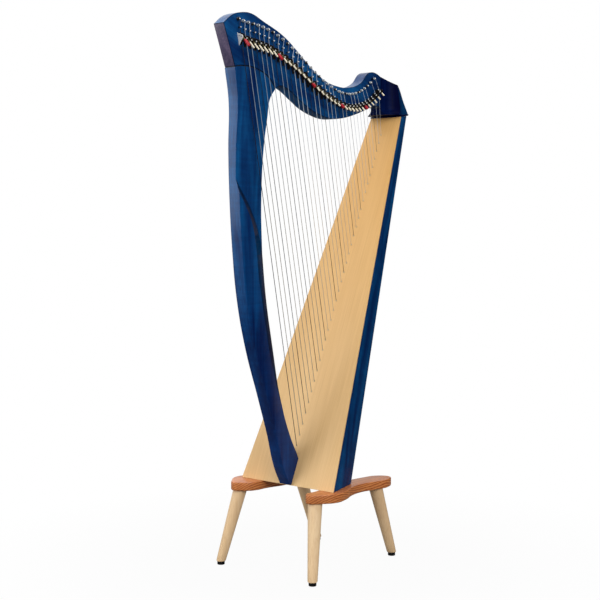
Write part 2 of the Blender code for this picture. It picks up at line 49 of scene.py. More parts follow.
# %% [markdown]
# ## The camera
# The photograph looks at the harp from its front right, from a little above its middle and slightly
# downwards, with a long lens. The position was fitted on corners of the soundboard, neck and stand.

# %% Camera
def placed(name, data):
    """A new object in the scene."""
    ob = bpy.data.objects.new(name, data)
    scene.collection.objects.link(ob)
    return ob


CAMERA_AT = (-2.76159, -2.29331, 0.94992)
CAMERA_DOWN = 0.0584  # radians below level
CAMERA_HEADING = -49.5862  # degrees about the upright axis
camera = placed("camera", bpy.data.cameras.new("camera"))
camera.location = CAMERA_AT
camera.rotation_euler = (math.pi / 2 - CAMERA_DOWN, 0.0, math.radians(CAMERA_HEADING))
camera.data.lens = 76.525
camera.data.sensor_width = 36.0
scene.camera = camera
scene.view_settings.view_transform = "Standard"
print("camera", [round(v, 2) for v in camera.location])

# %% [markdown]
# ## Light
# A studio picture on white. The main lamp is a large soft panel, high up on the camera's side. A
# smaller one on the left grazes the front of the pillar, and a third hangs overhead. The world is
# white where the camera looks at it. Lacquer mirrors a bright room on its left and from above, and
# a darker one on its right, which keeps the blue deep.

# %% Lamps
def soft_panel(name, place, target, size, power):
    """An area lamp at place that faces target: size in metres, power in watts."""
    lamp = bpy.data.lights.new(name, "AREA")
    lamp.shape = "RECTANGLE"
    lamp.size, lamp.size_y = size
    lamp.energy = power
    ob = placed(name, lamp)
    ob.location = place
    ob.rotation_euler = (Vector(target) - Vector(place)).to_track_quat("-Z", "Y").to_euler()
    ob.visible_camera = False


soft_panel("left_panel", (-2.45, 1.75, 1.55), (0.0, 0.0, 1.05), (2.2, 1.9), 42)
soft_panel("camera_side_panel", (-1.8, -3.7, 2.7), (0.0, 0.0, 0.8), (2.6, 2.2), 116)
soft_panel("overhead_panel", (0.2, 0.6, 4.0), (0.0, 0.0, 0.8), (2.6, 2.6), 44)


# %% World
def node(tree, kind, inputs=None, **settings):
    """A new node with its settings and inputs. A socket given as a value is linked."""
    made = tree.nodes.new("ShaderNode" + kind)
    for key, value in settings.items():
        setattr(made, key, value)
    for key, value in (inputs or {}).items():
        if isinstance(value, bpy.types.NodeSocket):
            tree.links.new(value, made.inputs[key])
        else:
            made.inputs[key].default_value = value
    return made


def ranged(tree, value, low, high, to_low=0.0, to_high=1.0):
    """A value stretched from one range to another."""
    made = node(tree, "MapRange", {"Value": value, "From Min": low, "From Max": high,
                                   "To Min": to_low, "To Max": to_high})
    return made.outputs["Result"]


WHITE = (1.0, 1.0, 1.0)
ROOM_LIGHT = 0.48  # what the room adds to the lamps
BRIGHT_SIDE = (-0.56, 0.64, 0.52)  # the way to the room's bright side, which lacquer mirrors
world = bpy.data.worlds.new("studio")
world.use_nodes = True
scene.world = world
sky = world.node_tree
sky.nodes.clear()
paths = node(sky, "LightPath")
look = node(sky, "TexCoord").outputs["Generated"]
side = node(sky, "VectorMath", {0: look, 1: BRIGHT_SIDE}, operation="DOT_PRODUCT")
shine = ranged(sky, side.outputs["Value"], -0.25, 0.4, 0.02, 1.5)
seen = node(sky, "Math", {0: paths.outputs["Is Camera Ray"],
                          1: paths.outputs["Is Transmission Ray"]}, operation="MAXIMUM")
glow = node(sky, "Mix", {0: paths.outputs["Is Glossy Ray"], 2: ROOM_LIGHT, 3: shine},
            data_type="FLOAT")
level = node(sky, "Mix", {0: seen.outputs[0], 2: glow.outputs[0], 3: 1.0}, data_type="FLOAT")
white = node(sky, "Background", {"Color": (*WHITE, 1.0), "Strength": level.outputs[0]})
node(sky, "OutputWorld", {"Surface": white.outputs[0]})
print("world nodes", len(sky.nodes))

# %% [markdown]
# The floor is a pale sheet of paper. Close to the harp it takes a faint shadow, and further out the
# camera sees the same white as in the background, so no horizon shows. Past the paper the room is
# dark on the right, which keeps its gleam off the lacquer, and pale on the left, under the lamp.

# %% Floor
FLOOR_HALF = 9.0
LEFTWARD = (-0.65, 0.76, 0.0)  # over the floor to the camera's left
bm = bmesh.new()
bmesh.ops.create_grid(bm, x_segments=1, y_segments=1, size=FLOOR_HALF)
floor_mesh = bpy.data.meshes.new("floor")
bm.to_mesh(floor_mesh)
bm.free()
floor = placed("floor", floor_mesh)
paper = bpy.data.materials.new("white_paper_floor")
paper.use_nodes = True
tree = paper.node_tree
tree.nodes.clear()
place = node(tree, "TexCoord").outputs["Object"]
far = node(tree, "VectorMath", {0: place}, operation="LENGTH").outputs["Value"]
plain = ranged(tree, far, 0.35, 1.1, 0.965, 1.0)
paths = node(tree, "LightPath")
seen = node(tree, "Math", {0: paths.outputs["Is Camera Ray"], 1: plain}, operation="MULTIPLY")
paper_share = ranged(tree, far, 0.7, 1.6, 0.2, 0.08)
leftward = node(tree, "VectorMath", {0: place, 1: LEFTWARD}, operation="DOT_PRODUCT")
lit_share = ranged(tree, leftward.outputs["Value"], 1.8, 3.0, 0.0, 0.7)
pale = node(tree, "Math", {0: paper_share, 1: lit_share}, operation="MAXIMUM")
matt = node(tree, "BsdfDiffuse", {"Color": pale.outputs[0]})
bright = node(tree, "Emission", {"Color": (*WHITE, 1.0), "Strength": 1.0})
mixed = node(tree, "MixShader", {0: seen.outputs[0], 1: matt.outputs[0], 2: bright.outputs[0]})
node(tree, "OutputMaterial", {"Surface": mixed.outputs[0]})
floor_mesh.materials.append(paper)
print("floor half width", FLOOR_HALF)


# %% [markdown]
# ## Finishes
# Wood looks real when its grain has a direction. Each wood here starts from noise that is pulled
# out along the grain, so that it reads as fibres, with a slower noise over it for the cloudy
# change of colour across a plank. The same fibres tilt the surface a little and change its gloss.

# %% Colour helpers
def srgb(r, g, b):
    """A colour read off a screen (0 to 255), as the linear numbers that a shader wants."""
    def one(c):
        c /= 255.0
        return c / 12.92 if c <= 0.04045 else ((c + 0.055) / 1.055) ** 2.4
    return one(r), one(g), one(b)


def finish(name, rough, metal=0.0, coat=0.0, coat_rough=0.1, gloss=0.5):
    """A new material with its constant values, its tree and its shader."""
    made = bpy.data.materials.new(name)
    made.use_nodes = True
    shader = made.node_tree.nodes["Principled BSDF"]
    for key, value in (("Roughness", rough), ("Metallic", metal), ("Coat Weight", coat),
                       ("Coat Roughness", coat_rough), ("Specular IOR Level", gloss)):
        shader.inputs[key].default_value = value
    return made, made.node_tree, shader


def ramp(tree, value, *stops):
    """A colour ramp: stops are (position, colour), from left to right."""
    made = node(tree, "ValToRGB", {"Fac": value})
    bar = made.color_ramp.elements
    bar[0].position, bar[1].position = stops[0][0], stops[-1][0]
    for where, _ in stops[1:-1]:
        bar.new(where)
    for element, (_, colour) in zip(bar, stops):
        element.color = (*colour, 1.0)
    return made.outputs["Color"]


def fibres(tree, turn, stretch, detail=4.0, distortion=0.0):
    """Noise pulled out along one axis: turn is how the object is turned first, in degrees, and
    stretch is how many specks there are in a metre, along each of the turned axes."""
    place = node(tree, "TexCoord").outputs["Object"]
    turned = node(tree, "Mapping", {"Vector": place, "Rotation": [math.radians(a) for a in turn]})
    pulled = node(tree, "Mapping", {"Vector": turned.outputs["Vector"], "Scale": stretch})
    made = node(tree, "TexNoise", {"Vector": pulled.outputs["Vector"], "Scale": 1.0,
                                   "Detail": detail, "Roughness": 0.6, "Distortion": distortion})
    return made.outputs["Fac"]


def multiplied(tree, share, a, b):
    """Colour a, changed by a share of colour b."""
    made = node(tree, "Mix", {0: share, 6: a, 7: b}, data_type="RGBA", blend_type="MULTIPLY")
    return made.outputs[2]


def surface(tree, shader, colour, value, rough_range, depth, distance=0.0006):
    """The colour, and roughness and a fine relief from the same fibres."""
    rough = ranged(tree, value, 0.3, 0.7, *rough_range)
    relief = node(tree, "Bump", {"Height": value, "Strength": depth, "Distance": distance})
    tree.links.new(colour, shader.inputs["Base Color"])
    tree.links.new(rough, shader.inputs["Roughness"])
    tree.links.new(relief.outputs["Normal"], shader.inputs["Normal"])


def along(tree, axis, low, high, below=WHITE, above=WHITE):
    """A colour that changes along an axis of the harp, to multiply another with."""
    place = node(tree, "TexCoord").outputs["Object"]
    value = node(tree, "SeparateXYZ", {"Vector": place}).outputs[axis]
    return ramp(tree, ranged(tree, value, low, high), (0.0, below), (1.0, above))


# the turn, in degrees, that stands each grain upright: up, along the soundboard, along the neck
# and level
GRAIN_UP, GRAIN_BOARD = (0.0, 0.0, 0.0), (0.0, -23.6, 0.0)
GRAIN_NECK, GRAIN_LEVEL = (0.0, 68.0, 0.0), (0.0, 90.0, 0.0)
print("helpers ready")

# %% [markdown]
# The frame is maple, stained blue and lacquered. Stain goes deeper into soft fibres, so the blue
# runs from navy to a brighter blue along the grain, and the figure of maple crosses it as faint
# bands. The neck's grain runs along the neck, and the pillar's and soundbox's run upwards. Faces
# that lie away from the light in the photograph are a deeper blue.

# %% Blue stained wood
def stained_wood(name, turn, tint=1.0, gloss=0.12, coat=0.17, foot=None, back=None,
                 tones=((2, 40, 94), (8, 84, 142))):
    """Stained, lacquered maple. foot and back darken its lower and far ends: painted shade."""
    made, tree, shader = finish(name, 0.3, coat=coat, coat_rough=0.16, gloss=gloss)
    fine = fibres(tree, turn, (210.0, 210.0, 7.0), 5.0, 0.25)
    broad = fibres(tree, turn, (16.0, 16.0, 2.2), 3.0, 0.6)
    figure = fibres(tree, turn, (7.0, 7.0, 60.0), 2.0, 0.9)
    deep, clear = ([c * tint for c in srgb(*tone)] for tone in tones)
    cloud = ramp(tree, broad, (0.36, deep), (0.64, clear))
    grain = ramp(tree, fine, (0.35, (0.62, 0.66, 0.74)), (0.62, (1.12, 1.08, 1.04)))
    bands = ramp(tree, figure, (0.38, (0.84, 0.86, 0.88)), (0.66, (1.12, 1.12, 1.1)))
    colour = multiplied(tree, 0.85, cloud, grain)
    colour = multiplied(tree, 0.8, colour, bands)
    # painted shade: the blue gets darker towards the lower end
    if foot:
        colour = multiplied(tree, 1.0, colour, along(tree, "Z", 0.45, 1.05, below=foot))
    # painted shade: the blue gets darker towards the far end
    if back:
        colour = multiplied(tree, 1.0, colour, along(tree, "X", 0.17, 0.28, above=back))
    surface(tree, shader, colour, fine, (0.28, 0.4), 0.1)
    return made


# the pillar's blue darkens towards its foot, where less light falls: painted shade
blue_upright_dark_foot = stained_wood("blue_stained_wood_upright_shaded_foot", GRAIN_UP, foot=(0.05, 0.4, 0.62))
# a darker copy of the blue for the soundbox's sides and back: painted shade
shaded_blue_leaning = stained_wood("blue_wood_leaning_painted_shade", GRAIN_BOARD, 0.85, 0.03, 0.0)
# the neck's blue darkens towards the shoulder: painted shade
blue_neck_dark_end = stained_wood("blue_stained_wood_neck_shaded_end", GRAIN_NECK, back=(0.35, 0.35, 0.5))
# end grain in a lavender-grey copy of the blue, which paints the sheen of the lamp on the left
blue_end_sheen = stained_wood("blue_end_grain_painted_sheen", GRAIN_LEVEL, tones=((62, 56, 84), (96, 84, 112)))
# a much darker copy of the blue for rounded rims: painted shade
shaded_blue_rims = stained_wood("blue_rims_painted_shade", GRAIN_UP, 0.16, 0.02, 0.0)
# a darker copy of the blue for the hollow's slanted wall: painted shade
shaded_blue_wall = stained_wood("blue_hollow_wall_painted_shade", GRAIN_UP, 0.34, 0.03, 0.0)
# a very dark copy of the blue for the shoulder and cap: painted shade
shaded_blue_shoulder = stained_wood("blue_shoulder_painted_shade", GRAIN_UP, 0.22, 0.02, 0.0,
                             tones=((8, 18, 96), (14, 52, 140)))
# a lighter copy of the shoulder's blue for its flat flanks: painted light
lit_blue_flank = stained_wood("blue_flank_painted_light", GRAIN_UP, 0.6, 0.03, 0.0)
print("blue woods ready")

# %% [markdown]
# The soundboard is spruce with its fine straight lines along the board, and the legs are pale
# maple. The stand's rails are a red-brown wood with a wavy grain, which is a wave texture with its
# bands bent by noise.

# %% Pale woods
def pale_wood(name, turn, light, dark, lines, rough, depth, top=None):
    """Pale wood with fine lines along its grain, so many in a metre. top tints its upper end."""
    made, tree, shader = finish(name, rough[0], gloss=0.3)
    fine = fibres(tree, turn, (lines, lines, lines / 120.0), 4.0, 0.1)
    streak = fibres(tree, turn, (lines / 5.0, lines / 5.0, lines / 400.0), 3.0, 0.2)
    cloud = fibres(tree, turn, (7.0, 7.0, 2.0), 2.0)
    base = ramp(tree, cloud, (0.3, srgb(*light)), (0.7, srgb(*dark)))
    lined = ramp(tree, fine, (0.34, (0.86, 0.8, 0.72)), (0.58, (1.02, 1.02, 1.02)))
    broad = ramp(tree, streak, (0.36, (0.92, 0.88, 0.82)), (0.62, (1.03, 1.03, 1.03)))
    colour = multiplied(tree, 0.6, base, lined)
    colour = multiplied(tree, 0.3, colour, broad)
    if top:
        # darker and more orange towards the top
        top_tint = along(tree, "Z", 0.25, 1.1, above=top)
        colour = multiplied(tree, 1.0, colour, top_tint)
    surface(tree, shader, colour, fine, rough, depth, 0.0004)
    return made


spruce = pale_wood("spruce_soundboard", GRAIN_BOARD, (234, 198, 144), (226, 187, 130), 620.0,
                   (0.4, 0.52), 0.08, top=(0.86, 0.75, 0.57))
maple = pale_wood("pale_maple_legs", GRAIN_UP, (240, 210, 168), (226, 190, 146), 250.0,
                  (0.36, 0.48), 0.06)
maple_inside = pale_wood("pale_maple_inside", GRAIN_LEVEL, (222, 190, 142), (206, 168, 118), 240.0,
                         (0.5, 0.6), 0.12)
print("pale woods ready")


# %% Red-brown wood
def wavy_wood(name):
    """Brown wood with wavy bands, pores and patches."""
    made, tree, shader = finish(name, 0.4, coat=0.15, coat_rough=0.2, gloss=0.4)
    place = node(tree, "TexCoord").outputs["Object"]
    laid = node(tree, "Mapping", {"Vector": place,
                                  "Rotation": (math.radians(35.0), 0.0, 0.0),
                                  "Scale": (0.07, 1.0, 1.0)})
    rings = node(tree, "TexWave", {"Vector": laid.outputs["Vector"], "Scale": 58.0,
                                   "Distortion": 4.0, "Detail": 2.5, "Detail Scale": 1.4,
                                   "Detail Roughness": 0.6},
                 wave_type="BANDS", bands_direction="Z", wave_profile="SIN")
    fine = fibres(tree, GRAIN_LEVEL, (520.0, 520.0, 10.0), 3.0)
    cloud = fibres(tree, GRAIN_LEVEL, (22.0, 22.0, 6.0), 2.0)
    colour = ramp(tree, rings.outputs["Fac"], (0.02, srgb(158, 84, 40)), (0.22, srgb(188, 106, 54)),
                  (0.55, srgb(206, 126, 68)), (1.0, srgb(216, 142, 82)))
    pores = ramp(tree, fine, (0.34, (0.66, 0.56, 0.46)), (0.52, WHITE))
    colour = multiplied(tree, 0.7, colour, pores)
    patches = ramp(tree, cloud, (0.35, (0.86, 0.8, 0.74)), (0.62, (1.06, 1.04, 1.0)))
    colour = multiplied(tree, 0.8, colour, patches)
    surface(tree, shader, colour, fine, (0.34, 0.46), 0.1)
    return made


red_brown = wavy_wood("red_brown_wood")
print("rail wood ready")

# %% [markdown]
# The small parts are plastic, rubber, nylon and metal. None is one flat value: fine specks of two
# close tones also change each one's gloss and relief a little. Bass strings are a duller nylon,
# and all nylon is warmer towards the soundboard: partly its own tone, partly painted, for the wood
# that shows through clear nylon.

# %% Small parts' finishes
def speckled(name, light, dark, rough, size=900.0, depth=0.05, metal=0.0, gloss=0.5, low=None):
    """A plain finish with specks of two tones, so many in a metre. low tints its lower end."""
    made, tree, shader = finish(name, rough[0], metal, gloss=gloss)
    spots = fibres(tree, GRAIN_UP, (size, size, size), 3.0)
    colour = ramp(tree, spots, (0.35, srgb(*dark)), (0.65, srgb(*light)))
    if low:
        colour = multiplied(tree, 1.0, colour, along(tree, "Z", 0.95, 1.25, below=low))
    surface(tree, shader, colour, spots, rough, depth, 0.0002)
    return made


cream = speckled("cream_plastic", (250, 240, 214), (238, 226, 198), (0.3, 0.4), 600.0)
white_cheek = speckled("white_painted_cheek", (255, 253, 248), (248, 245, 238), (0.3, 0.42), 500.0)
# a near-black finish for the brackets, which also paints the shadows between the levers
bracket_dark_shadow = speckled("dark_bracket_painted_shadow", (38, 34, 34), (22, 20, 24), (0.45, 0.58), 500.0,
                         gloss=0.2)
red = speckled("red_plastic", (200, 28, 44), (160, 16, 30), (0.28, 0.38), 600.0)
steel = speckled("zinc_steel", (226, 228, 230), (186, 190, 196), (0.22, 0.34), 420.0, 0.06, 1.0)
# near white and not metal: painted highlights for the glints on pin tips and pivot buttons
glint_white = speckled("nickel_painted_glint", (254, 253, 248), (238, 238, 234), (0.24, 0.34), 420.0)
brass = speckled("brass_arm", (184, 170, 118), (136, 122, 78), (0.26, 0.38), 420.0, 0.08, 1.0)
dark_steel = speckled("dark_steel", (66, 68, 72), (36, 38, 42), (0.3, 0.44), 420.0, 0.08, 1.0)
rubber = speckled("black_rubber", (14, 14, 15), (8, 8, 9), (0.7, 0.85), 300.0, 0.25, gloss=0.15)
# warmer towards the lower end: partly the nylon's tone, partly the wood seen through it, painted
WARM = (1.0, 0.78, 0.54)
SLEEK = (0.28, 0.36)
nylon = speckled("string_nylon", (200, 206, 212), (174, 182, 190), SLEEK, low=WARM)
nylon_bass = speckled("string_nylon_bass", (162, 172, 184), (132, 142, 154), SLEEK, low=WARM)
nylon_red = speckled("string_nylon_red", (34, 18, 22), (22, 12, 16), SLEEK)
nylon_dark = speckled("string_nylon_dark", (24, 25, 32), (16, 17, 22), SLEEK)
# a near-black finish for the strip in the neck-pillar joint: painted shadow in its groove
joint_shadow = speckled("painted_joint_shadow", (10, 14, 24), (5, 8, 16), (0.6, 0.75), 300.0, 0.1)
bone = speckled("grommet_bone", (212, 190, 152), (188, 164, 124), (0.34, 0.44), 500.0)
print("small finishes ready")


# %% [markdown]
# ## Making a piece
# Every piece is built in a bmesh, at its place in the harp, in the drawing's own numbers, where
# the soundboard's bottom front edge is at zero. The last step moves the mesh to the frame's place,
# marks the sharp edges and lets the piece ride on its body.

# %% Piece helpers
DRAWING = Matrix.Translation((-0.1269, 0.0, 0.006))  # from the drawing's zero to the frame's
WELD = 1e-6  # points closer than this become one
AXIS_Z = (0.0, 0.0, 1.0)


def piece(name, bm, finishes, stands_for=(), body="harp_frame", sharp=38.0):
    """A finished object from a bmesh, which is used up."""
    bmesh.ops.remove_doubles(bm, verts=bm.verts, dist=WELD)
    bmesh.ops.recalc_face_normals(bm, faces=bm.faces)
    bmesh.ops.triangulate(bm, faces=[f for f in bm.faces if len(f.verts) > 4])
    mesh = bpy.data.meshes.new(name)
    bm.to_mesh(mesh)
    bm.free()
    mesh.transform(DRAWING)
    for made in finishes:
        mesh.materials.append(made)
    mesh.polygons.foreach_set("use_smooth", [True] * len(mesh.polygons))
    mesh.set_sharp_from_angle(angle=math.radians(sharp))
    ob = placed(name, mesh)
    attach(ob, body)
    if stands_for:
        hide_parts(*stands_for)
    return ob


def soften(bm, edges, width, segments=2):
    """Rounds edges. What comes back holds the new faces and points."""
    return bmesh.ops.bevel(bm, geom=list(edges), offset=width, offset_type="OFFSET", affect="EDGES",
                           segments=segments, profile=0.5, material=-1, clamp_overlap=True)


def corners(bm, angle=40.0):
    """The edges that turn by more than an angle."""
    bm.normal_update()
    return [e for e in bm.edges if len(e.link_faces) == 2
            and e.calc_face_angle(0.0) > math.radians(angle)]


def bar(bm, radius, start, end, sides=12, radius_end=None, round_end=0.0):
    """A round bar from start to end. round_end softens the rim at its end."""
    start, end = Vector(start), Vector(end)
    axis = end - start
    place = (Matrix.Translation((start + end) / 2)
             @ axis.to_track_quat("Z", "Y").to_matrix().to_4x4())
    made = bmesh.ops.create_cone(bm, cap_ends=True, segments=sides, radius1=radius,
                                 radius2=radius if radius_end is None else radius_end,
                                 depth=axis.length, matrix=place)["verts"]
    if round_end:
        rim = {e for v in made for e in v.link_edges
               if all((w.co - end).dot(axis) > -1e-9 for w in e.verts)}
        soften(bm, rim, round_end, 2)


def tube(bm, path, radius, sides=8):
    """A round tube along a path: a ring that is extruded from point to point."""
    path = [Vector(p) for p in path]
    ring = bmesh.ops.create_circle(bm, segments=sides, radius=radius)["verts"]
    loop = list({e for v in ring for e in v.link_edges})
    first = list(loop)
    heading = (path[1] - path[0]).normalized()
    turn = Vector((0, 0, 1)).rotation_difference(heading)
    for v in ring:
        v.co = path[0] + turn @ v.co
    for i in range(1, len(path)):
        ahead = (path[min(i + 1, len(path) - 1)] - path[i - 1]).normalized()
        swing = heading.rotation_difference(ahead)
        made = bmesh.ops.extrude_edge_only(bm, edges=loop)["geom"]
        verts = [g for g in made if isinstance(g, bmesh.types.BMVert)]
        loop = [g for g in made if isinstance(g, bmesh.types.BMEdge)]
        for v in verts:
            v.co = path[i] + swing @ (v.co - path[i - 1])
        heading = ahead
    bmesh.ops.holes_fill(bm, edges=first + loop, sides=sides)


def carved(body, tool, operation="DIFFERENCE"):
    """One bmesh cut by another, as a new bmesh. Both are used up."""
    rough = []
    for source in (body, tool):
        bmesh.ops.recalc_face_normals(source, faces=source.faces)
        mesh = bpy.data.meshes.new("rough")
        source.to_mesh(mesh)
        source.free()
        rough.append(placed("rough", mesh))
    cut = rough[0].modifiers.new("cut", "BOOLEAN")
    cut.object, cut.operation, cut.solver = rough[1], operation, "EXACT"
    bpy.context.view_layer.update()
    made = bmesh.new()
    made.from_object(rough[0], bpy.context.evaluated_depsgraph_get())
    for ob in rough:
        bpy.data.objects.remove(ob, do_unlink=True)
    return made


print("piece helpers ready")


# %% [markdown]
# ## Panels between planes
# A soundbox tapers in every direction, so its panels are easiest to describe by the planes that
# they lie between. Each panel starts as a cube whose corners are moved to where three planes meet.

# %% Planes of the soundbox
GAP = 0.0003  # clearance between touching pieces
BOX_BOTTOM, BOX_TOP = 0.2279, 1.265
BOARD_TOP_X = 0.4539  # how far back the soundboard leans at its top
BOARD_HALF_BOTTOM, BOARD_HALF_TOP = 0.1671, 0.0555
BACK_X_BOTTOM, BACK_X_TOP = 0.1225, 0.5006
BACK_HALF_BOTTOM = 0.1314
BOARD_THICK, SIDE_THICK, BACK_THICK = 0.004, 0.006, 0.005
TOP_RISE = 0.125  # slope of the soundbox's top
MIDDLE = Vector((0.25, 0.0, 0.75))


def plane(a, b, c, inside=MIDDLE):
    """The plane through three points, facing away from inside."""
    a, b, c = Vector(a), Vector(b), Vector(c)
    normal = (b - a).cross(c - a).normalized()
    if normal.dot(Vector(inside) - a) > 0:
        normal = -normal
    return normal, normal.dot(a)


def inward(face, distance):
    """A plane moved into the box."""
    return face[0], face[1] - distance


def meet(p, q, r):
    """The point where three planes meet."""
    rows = np.array([p[0][:], q[0][:], r[0][:]])
    return Vector(np.linalg.solve(rows, np.array([p[1], q[1], r[1]])))


def panel(front, back, right, left, bottom, top):
    """A panel between six planes, as a bmesh."""
    bm = bmesh.new()
    for v in bmesh.ops.create_cube(bm, size=1.0)["verts"]:
        v.co = meet(front if v.co.x < 0 else back, right if v.co.y < 0 else left,
                    bottom if v.co.z < 0 else top)
    return bm


# planes that stand square to the harp's axes
def at_x(x):
    return Vector((1.0, 0.0, 0.0)), x


def at_y(y):
    return Vector((0.0, 1.0, 0.0)), y


def at_z(z):
    return Vector(AXIS_Z), z


FRONT = plane((0, -1, BOX_BOTTOM), (0, 1, BOX_BOTTOM), (BOARD_TOP_X, 0, BOX_TOP))
BACK = plane((BACK_X_BOTTOM, -1, BOX_BOTTOM), (BACK_X_BOTTOM, 1, BOX_BOTTOM),
             (BACK_X_TOP, 0, BOX_TOP))
RIGHT, LEFT = [plane((0, s * BOARD_HALF_BOTTOM, BOX_BOTTOM),
                     (BOARD_TOP_X, s * BOARD_HALF_TOP, BOX_TOP),
                     (BACK_X_BOTTOM, s * BACK_HALF_BOTTOM, BOX_BOTTOM)) for s in (-1, 1)]
BOTTOM = at_z(BOX_BOTTOM)
TOP = plane((BOARD_TOP_X, -1, BOX_TOP), (BOARD_TOP_X, 1, BOX_TOP),
            (BOARD_TOP_X + 1, 0, BOX_TOP + TOP_RISE))
print("front leans", round(math.degrees(math.asin(FRONT[0].z)), 1), "degrees")

# %% [markdown]
# The real soundbox is glued up from a spruce board, two sides and a back. Each panel keeps its own
# small rounded edges, so a fine line of light and shadow shows where two of them meet. The back
# has four oval openings, through which a player reaches in to fit a string.

# %% Soundbox
bm = panel(FRONT, inward(FRONT, BOARD_THICK), RIGHT, LEFT, BOTTOM, TOP)
soften(bm, corners(bm), 0.0007, 2)
piece("soundboard_panel", bm, [spruce], ["soundboard"])

behind_board = inward(FRONT, BOARD_THICK + GAP)
for hand, faces in (("right", (RIGHT, inward(RIGHT, SIDE_THICK))),
                    ("left", (inward(LEFT, SIDE_THICK), LEFT))):
    bm = panel(behind_board, BACK, *faces, BOTTOM, TOP)
    soften(bm, corners(bm), 0.0012, 3)
    piece(f"soundbox_side_panel_{hand}", bm, [shaded_blue_leaning],
          [f"soundbox_side_{hand}"])

bm = panel(inward(BACK, BACK_THICK), BACK, inward(RIGHT, SIDE_THICK + GAP),
           inward(LEFT, SIDE_THICK + GAP), BOTTOM, TOP)
# height, half length and half width of each hole
SOUND_HOLES = ((0.435, 0.062, 0.046), (0.65, 0.055, 0.037), (0.85, 0.047, 0.029),
               (1.03, 0.038, 0.021))
holes = bmesh.new()
lean = math.atan2(BACK_X_TOP - BACK_X_BOTTOM, BOX_TOP - BOX_BOTTOM)
for z, half_long, half_wide in SOUND_HOLES:
    x = BACK_X_BOTTOM + (z - BOX_BOTTOM) * math.tan(lean)
    bmesh.ops.create_cone(holes, cap_ends=True, segments=56, radius1=1, radius2=1, depth=0.03,
                          matrix=Matrix.Translation((x, 0, z)) @ Matrix.Rotation(lean, 4, "Y")
                          @ Matrix.Rotation(math.pi / 2, 4, "Y")
                          @ Matrix.Diagonal((half_long, half_wide, 1, 1)))
bm = carved(bm, holes)
soften(bm, corners(bm), 0.001, 2)
piece("soundbox_back_panel", bm, [shaded_blue_leaning], ["soundbox_back"])
for name in ("base_board", "top_block"):
    nodes[name].material_slots[0].material = maple_inside


# %% [markdown]
# ## The curved woodwork
# Neck and pillar are sawn from thick planks along a drawn curve. A two-dimensional curve with
# automatic handles gives the smooth outline, which is filled, pulled out to the plank's thickness
# and rounded along both rims.

# %% Outlines
NECK_THICK = 0.0364
NECK_FACE = -NECK_THICK / 2


def outline(points, steps=10):
    """Points round a smooth closed outline. A point is (x, z), or (x, z, False) at a corner."""
    curve = bpy.data.curves.new("outline", "CURVE")
    curve.dimensions = "2D"
    curve.fill_mode = "NONE"
    curve.resolution_u = steps
    spline = curve.splines.new("BEZIER")
    spline.use_cyclic_u = True
    spline.bezier_points.add(len(points) - 1)
    for point, (a, b, *smooth) in zip(spline.bezier_points, points):
        point.co = (a, b, 0.0)
        handle = "VECTOR" if False in smooth else "AUTO"
        point.handle_left_type = point.handle_right_type = handle
    ob = placed("outline", curve)
    mesh = ob.to_mesh()
    ring = [(v.co.x, v.co.y) for v in mesh.vertices]
    ob.to_mesh_clear()
    bpy.data.objects.remove(ob, do_unlink=True)
    return ring


def thickened(rim, way):
    """A flat outline of points, filled and pulled out by a vector, as a bmesh."""
    bm = bmesh.new()
    face = bm.faces.new([bm.verts.new(point) for point in rim])
    moved = bmesh.ops.extrude_face_region(bm, geom=[face])["geom"]
    bmesh.ops.translate(bm, vec=way, verts=[g for g in moved if isinstance(g, bmesh.types.BMVert)])
    return bm


def plank(ring, thick):
    """A plank standing in the xz plane with that outline."""
    bm = thickened([(x, -thick / 2, z) for x, z in ring], (0.0, thick, 0.0))
    bmesh.ops.recalc_face_normals(bm, faces=bm.faces)
    return bm


print("neck and pillar are", NECK_THICK, "thick")

# %% [markdown]
# The neck's outline runs along its crest, down at the shoulder and back under the strings to the
# curved joint with the pillar. Its front end shows end grain with a painted lavender sheen, and its
# rounded rims are darker with painted shade.

# %% Neck
JOINT = ((-0.2212, 1.3525), (-0.197, 1.357), (-0.13, 1.352), (-0.09, 1.335), (-0.062, 1.309))
JOINT_HALF = 0.0011  # half the width of the joint's dark line
NECK_END_X = 0.405


def joint(shift, backwards=False):
    """The joint's curve, moved up by shift."""
    pts = [(x, z + shift, 0 < i < len(JOINT) - 1) for i, (x, z) in enumerate(JOINT)]
    return pts[::-1] if backwards else pts


NECK_OUTLINE = [(-0.2622, 1.46, False), (-0.2303, 1.4833), (-0.1939, 1.4945), (-0.1576, 1.4957),
                (-0.1126, 1.4813), (-0.0281, 1.4503), (0.0297, 1.4153), (0.0892, 1.3755),
                (0.1507, 1.346), (0.201, 1.3365), (0.2454, 1.3362), (0.3092, 1.3549),
                (0.342, 1.385), (0.362, 1.3905), (0.382, 1.389), (NECK_END_X - GAP, 1.3805, False),
                (NECK_END_X - GAP, 1.289, False), (0.388, 1.294), (0.362, 1.2895), (0.3381, 1.2811),
                (0.2782, 1.261), (0.2137, 1.2466), (0.17, 1.2438), (0.1328, 1.2488),
                (0.0723, 1.2669), (0.0367, 1.2855), (-0.0213, 1.3143), (-0.045, 1.3175)]
bm = plank(outline(NECK_OUTLINE + joint(JOINT_HALF, backwards=True)), NECK_THICK)
bm.normal_update()
# faces turned to the front take the lavender-grey copy: end grain with a painted sheen
for face in bm.faces:
    face.material_index = 1 if face.normal.x < -0.8 else 0
RIM = 0.0016  # rounding of the planks' rims
# the rounded rims take the darker copy of the blue: painted shade
for face in soften(bm, corners(bm, 60.0), RIM, 3)["faces"]:
    face.material_index = 2
piece("neck_body", bm, [blue_neck_dark_end, blue_end_sheen, shaded_blue_rims], ["neck"])

